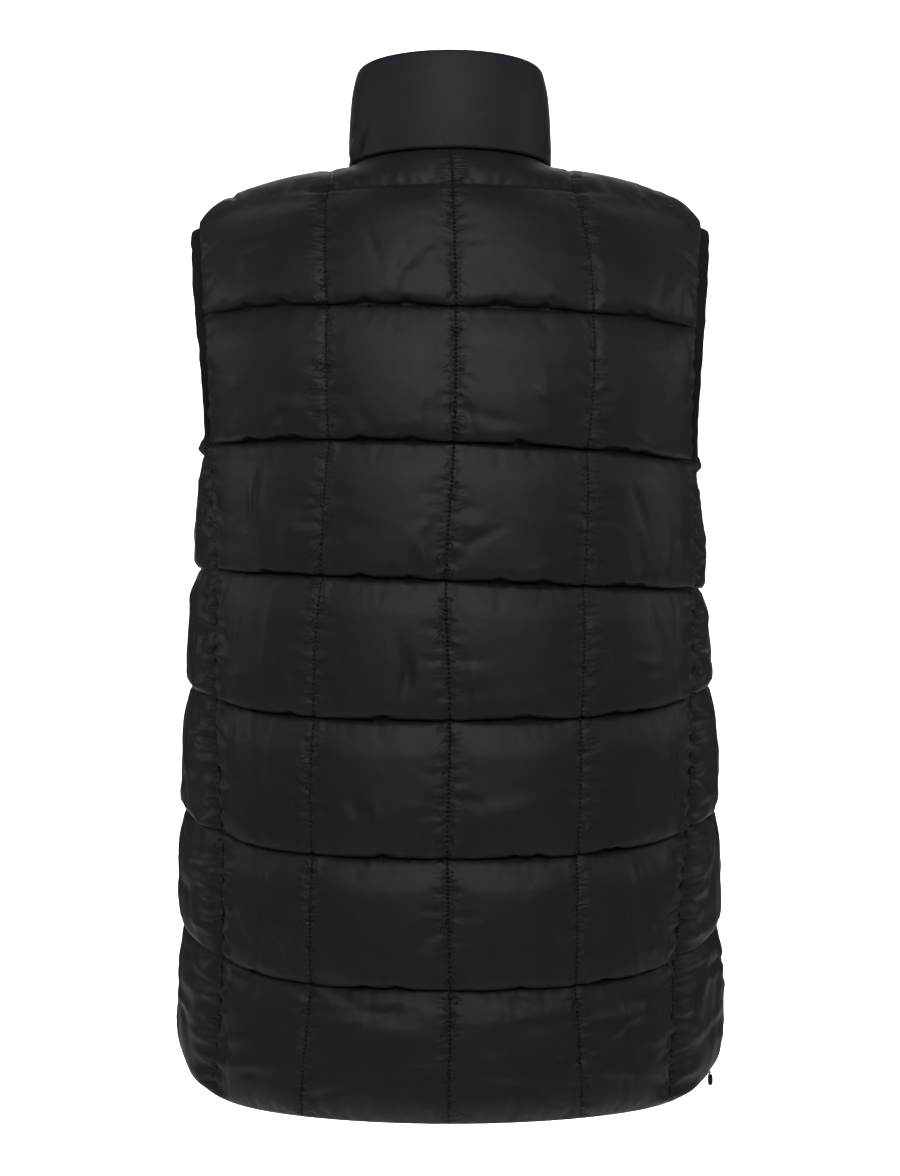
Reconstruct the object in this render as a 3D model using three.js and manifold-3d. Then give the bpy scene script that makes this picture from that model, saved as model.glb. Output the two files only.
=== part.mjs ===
// A quilted puffer vest, filled out as if worn: back, two fronts, stand collar,
// armhole bindings, centre front zip and a small cord loop at the hem.
// Millimetres, +Z up. The front faces -Y and +X is the wearer's left.
// The origin is the centre of the neck base, level with the top of the shoulder seams.
import * as THREE from 'three';
import Module from 'manifold-3d';
import { mergeVertices } from 'three/addons/utils/BufferGeometryUtils.js';

// Driving sizes
const WALL = 2.5;             // thickness of the cloth where it is stitched down
const SEAM_GAP = 0.3;         // space left between two sewn pieces
const CELL = 5;               // steps across and up one quilted square
const YOKE_STEPS = 3;         // steps up the strip between the top quilting line and the neck
const SEAM_PUFF = 0.4;        // share of the puff height left at a seam or armhole edge
const UPRIGHT_PUFF = 0.7;     // and at an upright stitch line inside a panel
const SIDE_PUFF = 0.45;       // and at the wearer's side, where the quilting hangs slack
const SIDE_LATE = 5;          // how late the puffs fall off on the way round to the side
const SIDE_RATIO = 1.6;       // width of the body over its depth
const ZIP_HALF = 9;           // half the width of the zip between the two fronts
const CHAIN_HALF = 3;         // half the width of the closed zip chain
const TAPE = 1.2;             // thickness of the zip tapes
const CHAIN = 2.2;            // thickness of the zip chain
const CHAIN_TOP = 0.6;        // how far the chain stands out past its tapes
const ZIP_TOP = 84;           // how far up the collar the zip runs
const COLLAR_ZIP_STEPS = 4;   // steps of the zip up the collar
const BAND_WIDTH = 9;         // how far an armhole band stands out from the quilting
const BAND_THICK = 3.2;       // thickness of the folded band
const BAND_EDGE = 1;          // width of the bevel at the band's free edge
const BAND_FLARE = 0.9;       // how much the bands turn out to the side

// Rows of numbers under named columns, as a list of records.
const table = (names, rows) => (
  rows.map((row) => Object.fromEntries(names.map((name, k) => [name, row[k]]))));

// One row for each quilting line, from the hem up, and how it runs round to the sides.
//   z, back, half : height, distance behind the origin and half width at the back (mm)
//   side          : how far behind the origin the line is at its widest
//   point         : 1 for an ellipse, more for a section that falls away from the centre
//   rise, late    : how much higher the line is at the side, and how late it rises
//   tilt          : how much higher the wearer's left end is
//   puff          : height of the puffs between this line and the next one up
//   front, fhalf  : depth and half width of the front half, which stops at the chest line
const LINES = table(
  ['z', 'back', 'half', 'side', 'point', 'rise', 'late', 'tilt', 'puff', 'front', 'fhalf'],
  [
    [-724, 131, 210, 0, 1, 26, 12, 0, 12, 121, 210],
    [-624, 131, 209, 0, 1, 26, 4, 0, 13, 121, 209],
    [-529, 131, 207, 0, 1, 21, 4, 0, 13, 121, 207],
    [-429, 131, 203, 0, 1, 18, 4, 0, 13, 121, 203],
    [-328, 131, 197, 0, 1, 0, 4, 8, 13, 120, 197],
    [-228, 130, 194, 0, 1, -3, 4, 7, 13, 118, 194],
    [-129, 121, 213, 12, 1.2, -9, 6, 6, 13, 108, 205],
    [-32, 84, 205, 10, 4, -38, 14, 0, 3],
  ],
);
const UNDERARM = 5;           // the quilting line that the armholes start from
const CHEST = 6;              // the quilting line across the shoulder blades
const FRONT_REAR_SHARE = 0.6; // share of the side's rise kept at the centre front
const ARMHOLE_ROUND = 9;      // how far the armholes round out above the underarm
const ARMHOLE_IN = 0.25;      // share of that taken off the shoulder's width
const ARMHOLE_FULL = 0.7;     // below 1, the rounding is fuller than a plain arc
const UNDERARM_DIP = 8;       // how far the edge dips between the two stitch lines under the arm
const NECK_BEND = 0.28;       // how long the chest runs straight before it bends over to the neck
const ARM_BEND = 0.52;        // and to the shoulder's tip

// Where the upright stitch lines cross each quilting line.
//   seamL, seamR : angle round from the centre back of the side seam or armhole edge
//   midL, mid, midR : distance of the three middle lines to the wearer's left
//   front : angle round from the centre front of the fronts' outer line or armhole edge
//   frontMid : distance of the fronts' middle line from the centre
const UPRIGHTS = table(
  ['seamL', 'midL', 'mid', 'midR', 'seamR', 'front', 'frontMid'],
  [
    [57, 108, 1, -95, 51, 73, 103],
    [54, 100, 0, -90, 53, 73, 101],
    [55, 99, 2, -91, 59, 73, 100],
    [60, 98, 0, -94, 64, 73, 99],
    [63, 92, 3, -96, 70, 73, 98],
    [71, 87, -3, -99, 74, 73, 97],
    [62, 89, -4, -104, 62, 58, 95],
    [75, 92, -2, -94, 75],
  ],
);

// Neck seam. Half width, and where it is at the centre back, the centre front and the sides.
//   drop, late : how much lower the centre front is, and how late the seam falls
const NECK = { half: 77, back: 61, front: -86, side: -8, drop: 45, late: 2 };
const NECK_STOPS = 4;         // straight steps of the neck edge from the centre line to the side

// Shoulder seams, from the stitch line beside the neck to the tip.
//   fall, crown   : how late the seam falls, and how far it arches up on the way
//   upIn, upOut   : how far out the cloth faces at the stitch line and at the tip
const SHOULDER = {
  stitchX: 93, stitchZ: -2, seamY: -14, tipX: 196, tipY: -26, tipZ: -52,
  fall: 1.4, crown: 5, upIn: 0.25, upOut: 0.62,
};

// Collar, and its section from the foot up the outside, over the edge and down the inside.
//   out   : share of the thickness, from the middle of the collar
//   up    : share of the height
//   lean, bulge : share of each that the point takes
const COLLAR = { height: 77, frontExtra: 14, thick: 8, lean: 6, bulge: 1.5, footGap: 0.5 };
const COLLAR_SPLIT = 2;       // sections in each straight step of the neck edge
const COLLAR_PROFILE = table(
  ['out', 'up', 'lean', 'bulge'],
  [
    [0.5, 0, 0, 0],
    [0.5, 0.3, 0.2, 0.8],
    [0.5, 0.7, 0.6, 1],
    [0.42, 0.955, 1, 0.2],
    [0.15, 1, 1, 0],
    [-0.15, 1, 1, 0],
    [-0.42, 0.955, 1, 0],
    [-0.5, 0.5, 0.4, 0],
    [-0.5, 0, 0, 0],
  ],
);

// Zip slider and pull tab. The tab's upper bar hangs in the slider's bow.
const SLIDER = { width: 8, height: 11, thick: 1.8, up: 74 };
const BOW = { width: 1.6, reach: 4.2, height: 6.4, bar: 1.2 };
const PULL = { width: 6.4, length: 22, thick: 1.2, slotWidth: 3, slotHeight: 3.6, bar: 1.2, lift: 0.6 };
const PULL_SEGMENTS = 6;      // straight steps round the tab's lower end

// Cord loop at the hem, on the wearer's right. Its two strands come down inside the cloth.
const CORD = {
  diameter: 1.5, angle: 76, spread: 3.4, join: 1.8, inside: 24, below: 8.5, sides: 8, steps: 9,
};
const CORD_CLEAR = 1.5;       // from the cloth's inner face to a strand
const CORD_SWAY = 4;          // how far the loop's end hangs out from the side

// Moulded end of the cord, as shares of its width out from the middle and its height down.
const CORD_END = { width: 4, height: 8.5, sides: 10 };
const CORD_END_PROFILE = table(
  ['out', 'down'],
  [[0, 1], [0.3, 1], [0.5, 0.8], [0.5, 0.35], [0.45, 0], [0, 0]],
);

const COLOURS = {
  quilt: { color: 0x16171a, roughness: 0.55, metalness: 0 },
  collar: { color: 0x1a1b1e, roughness: 0.55, metalness: 0 },
  band: { color: 0x0e0e0f, roughness: 0.95, metalness: 0 },
  tape: { color: 0x101012, roughness: 0.9, metalness: 0 },
  metal: { color: 0x1c1c1e, roughness: 0.4, metalness: 0.6 },
  cord: { color: 0x0c0c0d, roughness: 0.8, metalness: 0 },
  moulded: { color: 0x101011, roughness: 0.5, metalness: 0 },
};

const radians = (degrees) => degrees * Math.PI / 180;
const lerp = (a, b, t) => a + (b - a) * t;
const hump = (t) => 4 * t * (1 - t);
const vec = (x, y, z) => new THREE.Vector3(x, y, z);
const vest = new THREE.Group();

// Turns shared vertices and triangles into a named mesh whose faces point out.
function addMesh(name, points, triangles, look) {
  let volume = 0;
  for (const [a, b, c] of triangles) {
    volume += points[a].dot(points[b].clone().cross(points[c]));
  }
  const index = triangles.flatMap(([a, b, c]) => (volume > 0 ? [a, b, c] : [a, c, b]));
  const geometry = new THREE.BufferGeometry();
  geometry.setAttribute('position', new THREE.Float32BufferAttribute(points.flatMap((p) => p.toArray()), 3));
  geometry.setIndex(index);
  geometry.computeVertexNormals();
  const mesh = new THREE.Mesh(geometry, new THREE.MeshStandardMaterial(COLOURS[look]));
  mesh.name = name;
  vest.add(mesh);
  return mesh;
}

// A wall over a grid of points: an outer face, an inner face and a rim round every edge.
function addWall(name, across, up, kept, outer, inner, look) {
  const points = [];
  const triangles = [];
  const number = new Map();
  const node = (i, j) => {
    const key = `${i},${j}`;
    if (!number.has(key)) {
      number.set(key, points.length);
      points.push(outer(i, j), inner(i, j));
    }
    return number.get(key);
  };
  const has = (i, j) => i >= 0 && j >= 0 && i < across && j < up && kept(i, j);
  const quad = (a, b, c, d) => triangles.push([a, b, c], [a, c, d]);
  // The rim is split the same way on both sides of a seam, so twisted rims stay apart.
  const rim = (a, b) => {
    if (Math.abs(points[a].x) < Math.abs(points[b].x)) triangles.push([b, a, b + 1], [a, a + 1, b + 1]);
    else triangles.push([b, a, a + 1], [b, a + 1, b + 1]);
  };
  for (let j = 0; j < up; j += 1) {
    for (let i = 0; i < across; i += 1) {
      if (!has(i, j)) continue;
      const [a, b, c, d] = [node(i, j), node(i + 1, j), node(i + 1, j + 1), node(i, j + 1)];
      quad(a, b, c, d);
      quad(a + 1, d + 1, c + 1, b + 1);
      if (!has(i, j - 1)) rim(a, b);
      if (!has(i + 1, j)) rim(b, c);
      if (!has(i, j + 1)) rim(c, d);
      if (!has(i - 1, j)) rim(d, a);
    }
  }
  return addMesh(name, points, triangles, look);
}

// A tube through a list of sections, each a closed loop with the same number of points.
function addLoft(name, sections, closed, look) {
  const sides = sections[0].length;
  const points = sections.flat();
  const triangles = [];
  const last = closed ? sections.length : sections.length - 1;
  for (let s = 0; s < last; s += 1) {
    const here = s * sides;
    const next = ((s + 1) % sections.length) * sides;
    for (let k = 0; k < sides; k += 1) {
      const l = (k + 1) % sides;
      triangles.push([here + k, here + l, next + l], [here + k, next + l, next + k]);
    }
  }
  if (!closed) {
    const end = (sections.length - 1) * sides;
    for (let k = 1; k < sides - 1; k += 1) {
      triangles.push([0, k + 1, k], [end, end + k, end + k + 1]);
    }
  }
  return addMesh(name, points, triangles, look);
}

// Smooth curve through a list of points, read at a place counted in points.
function through(points, place) {
  const last = points.length - 1;
  const i = Math.min(Math.floor(place), last - 1);
  const t = place - i;
  const tangent = (k) => {
    const before = points[Math.max(k - 1, 0)];
    const after = points[Math.min(k + 1, last)];
    const steps = Math.min(k + 1, last) - Math.max(k - 1, 0);
    return after.clone().sub(before).divideScalar(steps);
  };
  const [t2, t3] = [t * t, t * t * t];
  return points[i].clone().multiplyScalar(2 * t3 - 3 * t2 + 1)
    .addScaledVector(tangent(i), t3 - 2 * t2 + t)
    .addScaledVector(points[i + 1], 3 * t2 - 2 * t3)
    .addScaledVector(tangent(i + 1), t3 - t2);
}

// Point of a quilting line at an angle round from the centre back, positive to the
// wearer's left. Past 90 degrees it is on the front.
function linePoint(level, angle) {
  const line = LINES[level];
  const turn = Math.abs(angle);
  const sin = Math.sin(radians(turn));
  const cos = Math.cos(radians(turn));
  const side = Math.sign(angle) || 1;
  const front = turn > 90;
  const half = front ? line.fhalf : line.half;
  const depth = front ? line.front : line.back;
  const fall = Math.abs(cos) ** line.point;
  const y = front ? -(line.side + (depth - line.side) * fall) : line.side + (depth - line.side) * fall;
  const share = front ? lerp(FRONT_REAR_SHARE, 1, sin ** line.late) : sin ** line.late;
  return vec(side * half * sin, y, line.z + line.rise * share + line.tilt * side * sin);
}

// Angle round from the centre back of a place so far to the wearer's left.
const backAngle = (level, x) => Math.asin(x / LINES[level].half) * 180 / Math.PI;
const frontAngle = (level, x) => 180 - Math.asin(x / LINES[level].fhalf) * 180 / Math.PI;

// Neck seam at an angle round from the centre back.
function neckPoint(angle) {
  const turn = Math.abs(angle);
  const sin = Math.sin(radians(turn));
  const cos = Math.cos(radians(turn));
  const depth = cos > 0 ? NECK.back - NECK.side : NECK.side - NECK.front;
  const drop = cos > 0 ? 0 : NECK.drop * Math.abs(cos) ** NECK.late;
  return vec((Math.sign(angle) || 1) * NECK.half * sin, NECK.side + depth * cos, -drop);
}
const neckOut = (angle) => {
  const out = neckPoint(angle).sub(vec(0, NECK.side, 0));
  return out.setZ(0).normalize();
};
const ZIP_NECK_ANGLE = 180 - Math.asin((ZIP_HALF + SEAM_GAP / 2) / NECK.half) * 180 / Math.PI;

// Shoulder seam, in steps from the stitch line beside the neck to the tip.
function shoulderPoint(step, side) {
  const t = step / CELL;
  return vec(side * lerp(SHOULDER.stitchX, SHOULDER.tipX, t),
    lerp(SHOULDER.seamY, SHOULDER.tipY, t),
    lerp(SHOULDER.stitchZ, SHOULDER.tipZ, t ** SHOULDER.fall) + SHOULDER.crown * hump(t));
}
function shoulderUp(step, side) {
  return vec(side * lerp(SHOULDER.upIn, SHOULDER.upOut, step / CELL), 0, 1).normalize();
}

// Upper edge of the back or front, counted in steps from the centre line outward.
// The neck seam takes all but the last step of the first column.
function topEdge(step, side, isFront) {
  const neckSteps = CELL - 1;
  if (step <= neckSteps) {
    const from = isFront ? ZIP_NECK_ANGLE : 0;
    const angle = lerp(from, 90, step / neckSteps) * side;
    const onShoulder = step === neckSteps;
    return { point: neckPoint(angle), out: neckOut(angle), atNeck: true, onShoulder, outward: 0 };
  }
  const point = shoulderPoint(step - CELL, side);
  const outward = (step - neckSteps) / (2 * CELL - neckSteps);
  return { point, out: shoulderUp(step - CELL, side), atNeck: false, onShoulder: true, outward };
}

// Rises from a point along a tangent and bends over to the end point.
function bendOver(start, heading, end, t, bend) {
  const reach = start.distanceTo(end) * bend;
  const middle = start.clone().addScaledVector(heading, reach);
  return start.clone().multiplyScalar((1 - t) ** 2)
    .addScaledVector(middle, 2 * t * (1 - t))
    .addScaledVector(end, t * t);
}

// A panel is a grid of columns of stitch lines. Each column of grid points has its own
// list of places on the quilting lines, and its own end on the upper edge.
function panelSurface(sectionPoint, topLevel, topSteps, edge, armhole) {
  const columns = new Map();
  const column = (i) => {
    if (!columns.has(i)) {
      columns.set(i, LINES.slice(0, topLevel + 1).map((line, level) => sectionPoint(i, level)));
    }
    return columns.get(i);
  };
  return (i, j) => {
    const points = column(i);
    const full = topLevel * CELL;
    if (j <= full) return armhole(i, j, through(points, j / CELL));
    const heading = through(points, topLevel).sub(through(points, topLevel - 0.2)).normalize();
    const top = edge(i);
    const t = (j - full) / topSteps;
    return bendOver(points[topLevel], heading, top.point, t, lerp(NECK_BEND, ARM_BEND, top.outward));
  };
}

// Rounds out the armhole above the underarm; the shift fades across the last column.
function roundArmhole(point, level, share, side, isFront) {
  if (level <= UNDERARM || level >= CHEST || share <= 0) return point;
  const swell = Math.sin(Math.PI * (level - UNDERARM)) ** ARMHOLE_FULL;
  const shift = ARMHOLE_ROUND * swell * share * share;
  return point.add(vec(-side * shift * ARMHOLE_IN, (isFront ? -1 : 1) * shift, 0));
}

// Unit normal of a surface given as points over a grid.
function normalOf(surface, i, j, limits, outward) {
  const [i0, i1] = [Math.max(i - 1, limits.left), Math.min(i + 1, limits.right)];
  const [j0, j1] = [Math.max(j - 1, 0), Math.min(j + 1, limits.top(i))];
  const across = surface(i1, j).sub(surface(i0, j));
  const upward = surface(i, j1).sub(surface(i, j0));
  const normal = across.cross(upward).normalize();
  return normal.dot(outward) < 0 ? normal.negate() : normal;
}

// Height of the puffs over the plain wall, so many squares across a panel and up a row.
// Puffs fall to their share at the stitch lines, and get flatter round to the side.
function puffHeight(level, across, up, columns, base) {
  const left = Math.min(Math.floor(across), columns - 1);
  const share = (line) => (line === 0 || line === columns ? SEAM_PUFF : UPRIGHT_PUFF);
  const along = across - left;
  const edge = lerp(share(left), share(left + 1), along);
  const full = lerp(edge, 1, Math.sqrt(Math.max(hump(along), 0)));
  const sideways = Math.abs(base.x) / Math.hypot(base.x, base.y * SIDE_RATIO);
  const slack = lerp(1, SIDE_PUFF, sideways ** SIDE_LATE);
  return LINES[level].puff * Math.sqrt(Math.max(hump(up), 0)) * full * slack;
}

// Back panel: grid column 0 is the seam on the wearer's right.
const BACK_COLUMNS = 4 * CELL;
const BACK_ROWS = 7 * CELL + YOKE_STEPS;
function backSection(i, level) {
  const up = UPRIGHTS[level];
  const stops = [-up.seamR, backAngle(level, up.midR), backAngle(level, up.mid),
    backAngle(level, up.midL), up.seamL];
  const column = Math.min(Math.floor(i / CELL), 3);
  return linePoint(level, lerp(stops[column], stops[column + 1], i / CELL - column));
}
const backEdge = (i) => topEdge(Math.abs(i - 2 * CELL), i < 2 * CELL ? -1 : 1, false);
const backArmhole = (i, j, point) => {
  const steps = Math.abs(i - 2 * CELL);
  return roundArmhole(point, j / CELL, steps / CELL - 1, i < 2 * CELL ? -1 : 1, false);
};
const backSurface = panelSurface(backSection, LINES.length - 1, YOKE_STEPS, backEdge, backArmhole);

// Front panel: grid column 0 is the zip edge, then the middle line, the outer line and
// the side seam. Above the underarm it ends at the outer line, which is the armhole.
const FRONT_COLUMNS = 3 * CELL;
const FRONT_ROWS = 7 * CELL;
function frontSection(side) {
  return (i, level) => {
    const up = UPRIGHTS[level];
    const stops = [frontAngle(level, ZIP_HALF + SEAM_GAP / 2), frontAngle(level, up.frontMid),
      180 - up.front, side > 0 ? up.seamL : up.seamR];
    const column = Math.min(Math.floor(i / CELL), 2);
    return linePoint(level, side * lerp(stops[column], stops[column + 1], i / CELL - column));
  };
}
const frontEdge = (side) => (i) => topEdge(i, side, true);
const frontArmhole = (side) => (i, j, point) => {
  if (i <= 2 * CELL) return roundArmhole(point, j / CELL, i / CELL - 1, side, true);
  const along = (i - 2 * CELL) / CELL;
  const near = Math.max(j / CELL - UNDERARM + 1, 0);
  return point.add(vec(0, 0, -UNDERARM_DIP * Math.sin(Math.PI * along) * near * near));
};
const frontSurface = (side) => (
  panelSurface(frontSection(side), CHEST, CELL, frontEdge(side), frontArmhole(side)));

// Normal at the side seam, the same for the two panels that meet there.
function seamNormal(level, side) {
  const at = (place, shift) => {
    const points = UPRIGHTS.slice(0, UNDERARM + 1).map((up, k) => (
      linePoint(k, side * ((side > 0 ? up.seamL : up.seamR) + shift))));
    return through(points, place);
  };
  const across = at(level, 2).sub(at(level, -2));
  const upward = at(Math.min(level + 0.1, UNDERARM), 0).sub(at(Math.max(level - 0.1, 0), 0));
  const normal = across.clone().cross(upward).normalize();
  const outward = at(level, 0).setZ(0);
  return { normal: normal.dot(outward) < 0 ? normal.negate() : normal, across: across.normalize() };
}

// Outer and inner points of a panel, with its edges drawn back by half a seam gap.
function panelFaces(panel) {
  const { surface, edge, limits, isFront } = panel;
  const cache = new Map();
  const place = (i, j) => {
    const key = `${i},${j}`;
    if (cache.has(key)) return cache.get(key);
    const base = surface(i, j);
    let normal = normalOf(surface, i, j, limits, base.clone().sub(vec(0, 0, base.z - 40)));
    let raise = panel.puff(i, j, base);
    let drop = WALL;
    const seam = panel.seamAt(i, j);
    if (seam) {
      normal = seam.normal;
      base.addScaledVector(seam.across, seam.inward * SEAM_GAP / 2);
    }
    if (j === limits.top(i) && j > UNDERARM * CELL) {
      const top = edge(i);
      normal = top.out;
      if (top.atNeck) {
        raise = WALL / 2;
        drop = WALL / 2;
      }
      if (top.onShoulder) base.y += (isFront ? -1 : 1) * SEAM_GAP / 2;
    }
    const result = {
      outer: base.clone().addScaledVector(normal, raise),
      inner: base.clone().addScaledVector(normal, -drop),
      base, normal,
    };
    cache.set(key, result);
    return result;
  };
  return place;
}

function makeBack() {
  const limits = { left: 0, right: BACK_COLUMNS, top: () => BACK_ROWS };
  const puff = (i, j, base) => {
    const top = LINES.length - 1;
    const level = Math.min(Math.floor(j / CELL), top);
    const up = level === top ? (j - top * CELL) / YOKE_STEPS : j / CELL - level;
    return puffHeight(level, i / CELL, up, BACK_COLUMNS / CELL, base);
  };
  const seamAt = (i, j) => {
    if (j > UNDERARM * CELL || (i !== 0 && i !== BACK_COLUMNS)) return null;
    const side = i === 0 ? -1 : 1;
    return { ...seamNormal(j / CELL, side), inward: -1 };
  };
  return panelFaces({ surface: backSurface, edge: backEdge, limits, puff, seamAt, isFront: false });
}

function makeFront(side) {
  const top = (i) => (i > 2 * CELL ? UNDERARM * CELL : FRONT_ROWS);
  const limits = { left: 0, right: FRONT_COLUMNS, top };
  const puff = (i, j, base) => {
    const level = Math.min(Math.floor(j / CELL), CHEST);
    const columns = (j > UNDERARM * CELL ? 2 * CELL : FRONT_COLUMNS) / CELL;
    return puffHeight(level, i / CELL, j / CELL - level, columns, base);
  };
  const surface = frontSurface(side);
  const seamAt = (i, j) => {
    if (i !== FRONT_COLUMNS) return null;
    return { ...seamNormal(j / CELL, side), inward: 1 };
  };
  return panelFaces({ surface, edge: frontEdge(side), limits, puff, seamAt, isFront: true });
}

// Collar: sections round the neck from one zip edge to the other. Its foot follows the
// straight steps of the panels' neck edge.
function neckStops() {
  const stops = [];
  for (let k = -2 * NECK_STOPS; k <= 2 * NECK_STOPS; k += 1) {
    const quarters = Math.abs(k) / NECK_STOPS;
    const turn = quarters <= 1 ? lerp(0, 90, quarters) : lerp(90, ZIP_NECK_ANGLE, quarters - 1);
    stops.push(Math.sign(k) * turn);
  }
  return stops;
}
function collarSection(angle, foot) {
  const forward = Math.max(-Math.cos(radians(angle)), 0);
  const height = COLLAR.height + COLLAR.frontExtra * forward ** NECK.late;
  const out = neckOut(angle);
  const middle = neckPoint(angle);
  return COLLAR_PROFILE.map((p) => {
    const shift = p.out * COLLAR.thick - p.lean * COLLAR.lean + p.bulge * COLLAR.bulge;
    const point = middle.clone().addScaledVector(out, shift);
    const edge = ZIP_HALF + SEAM_GAP / 2;
    if (Math.abs(point.x) < edge && Math.abs(angle) > 90) point.x = Math.sign(angle) * edge;
    return point.setZ(foot + COLLAR.footGap + p.up * height);
  });
}
function collarSections() {
  const stops = neckStops();
  const sections = [];
  for (let k = 0; k < stops.length - 1; k += 1) {
    const [from, to] = [neckPoint(stops[k]).z, neckPoint(stops[k + 1]).z];
    for (let n = 0; n < COLLAR_SPLIT; n += 1) {
      const t = n / COLLAR_SPLIT;
      sections.push(collarSection(lerp(stops[k], stops[k + 1], t), lerp(from, to, t)));
    }
  }
  const end = stops[stops.length - 1];
  sections.push(collarSection(end, neckPoint(end).z));
  return sections;
}

// Armhole band: a strip round the hole, standing out from the edges of the panels.
function armholeEdge(backFaces, frontFaces, side) {
  const edge = [];
  const rim = side > 0 ? BACK_COLUMNS : 0;
  for (let j = UNDERARM * CELL; j < BACK_ROWS; j += 1) edge.push(backFaces(rim, j));
  for (let j = FRONT_ROWS; j >= UNDERARM * CELL; j -= 1) edge.push(frontFaces(2 * CELL, j));
  for (let i = 2 * CELL + 1; i < FRONT_COLUMNS; i += 1) edge.push(frontFaces(i, UNDERARM * CELL));
  return edge;
}
function bandSections(edge, side) {
  const centre = edge.reduce((sum, e) => sum.add(e.base), vec(0, 0, 0)).divideScalar(edge.length);
  return edge.map((e, k) => {
    const before = edge[(k + edge.length - 1) % edge.length].base;
    const after = edge[(k + 1) % edge.length].base;
    const inward = after.clone().sub(before).cross(e.normal).normalize();
    if (inward.dot(centre.clone().sub(e.base)) < 0) inward.negate();
    const out = inward.clone().add(vec(side * BAND_FLARE, 0, 0)).normalize();
    const gap = SEAM_GAP / out.dot(inward);
    const at = (along, up) => e.base.clone().addScaledVector(out, along).addScaledVector(e.normal, up);
    const bottom = -WALL;
    const top = BAND_THICK - WALL;
    const flat = BAND_WIDTH - BAND_EDGE;
    return [at(gap, bottom), at(flat, bottom), at(BAND_WIDTH, (bottom + top) / 2),
      at(flat, top), at(gap, top)];
  });
}

// How far the collar's front leans back at a height above its foot.
const frontLean = (up) => COLLAR.lean * up / (COLLAR.height + COLLAR.frontExtra);

// Zip: places up the centre front, from the hem to just under the collar's top edge.
function zipPlaces(left, right) {
  const places = [];
  for (let j = 0; j < FRONT_ROWS; j += 1) {
    const middle = left(0, j).base.clone().add(right(0, j).base).multiplyScalar(0.5);
    places.push(middle.setX(0));
  }
  const foot = neckPoint(ZIP_NECK_ANGLE).setX(0);
  for (let k = 0; k <= COLLAR_ZIP_STEPS; k += 1) {
    const up = ZIP_TOP * k / COLLAR_ZIP_STEPS;
    places.push(foot.clone().add(vec(0, frontLean(up), up)));
  }
  return places;
}
function zipStrip(places, fromX, toX, low, high) {
  return places.map((place, k) => {
    const along = places[Math.min(k + 1, places.length - 1)].clone().sub(places[Math.max(k - 1, 0)]);
    const out = vec(0, -along.z, along.y).normalize();
    const at = (x, up) => place.clone().addScaledVector(out, up).setX(x);
    return [at(fromX, low), at(toX, low), at(toX, high), at(fromX, high)];
  });
}

const back = makeBack();
addWall('back_panel', BACK_COLUMNS, BACK_ROWS, () => true,
  (i, j) => back(i, j).outer, (i, j) => back(i, j).inner, 'quilt');
const fronts = {};
for (const [name, side] of [['front_left', 1], ['front_right', -1]]) {
  const faces = makeFront(side);
  fronts[side] = faces;
  addWall(name, FRONT_COLUMNS, FRONT_ROWS, (i, j) => i < 2 * CELL || j < UNDERARM * CELL,
    (i, j) => faces(i, j).outer, (i, j) => faces(i, j).inner, 'quilt');
}

addLoft('collar', collarSections(), false, 'collar');
for (const [name, side] of [['armhole_band_left', 1], ['armhole_band_right', -1]]) {
  addLoft(name, bandSections(armholeEdge(back, fronts[side], side), side), true, 'band');
}

// Slider: a plate over the chain with a bow for the tab, joined into one solid.
const wasm = await Module();
wasm.setup();
function toSolid(geometry) {
  const plain = geometry.clone();
  for (const key of Object.keys(plain.attributes)) if (key !== 'position') plain.deleteAttribute(key);
  const merged = mergeVertices(plain, 1e-4);
  return new wasm.Manifold(new wasm.Mesh({
    numProp: 3,
    vertProperties: Float32Array.from(merged.attributes.position.array),
    triVerts: Uint32Array.from(merged.index.array),
  }));
}
function addSolid(name, solid, look) {
  const { vertProperties, triVerts } = solid.getMesh();
  const points = [];
  const triangles = [];
  for (let k = 0; k < vertProperties.length; k += 3) points.push(vec(...vertProperties.slice(k, k + 3)));
  for (let k = 0; k < triVerts.length; k += 3) triangles.push([...triVerts.slice(k, k + 3)]);
  return addMesh(name, points, triangles, look);
}
const rectangle = (left, low, right, high) => (
  [new THREE.Vector2(left, low), new THREE.Vector2(right, low),
    new THREE.Vector2(right, high), new THREE.Vector2(left, high)]);
function framed(outer, hole, depth) {
  const shape = new THREE.Shape(rectangle(...outer));
  shape.holes.push(new THREE.Path(rectangle(...hole)));
  return new THREE.ExtrudeGeometry(shape, { depth, bevelEnabled: false });
}

// Point on the chain's outer face so far up the collar.
function chainFace(up) {
  const foot = neckPoint(ZIP_NECK_ANGLE);
  return vec(0, foot.y + frontLean(up) - CHAIN_TOP, foot.z + up);
}

function makeSlider() {
  const back = chainFace(SLIDER.up - SLIDER.height / 2).y - SEAM_GAP;
  const front = back - SLIDER.thick;
  const middle = chainFace(SLIDER.up).z;
  const plate = new THREE.BoxGeometry(SLIDER.width, SLIDER.thick, SLIDER.height);
  plate.translate(0, (back + front) / 2, middle);
  // The bow is drawn in its own plane, reach to the right and height up, and then turned.
  const half = BOW.height / 2;
  const sunk = -SLIDER.thick / 2;
  const bow = framed([sunk, -half, BOW.reach, half],
    [0, BOW.bar - half, BOW.reach - BOW.bar, half - BOW.bar], BOW.width);
  bow.rotateX(Math.PI / 2);
  bow.rotateZ(-Math.PI / 2);
  bow.translate(BOW.width / 2, front, middle);
  return { plate, bow, front, middle };
}

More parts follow.
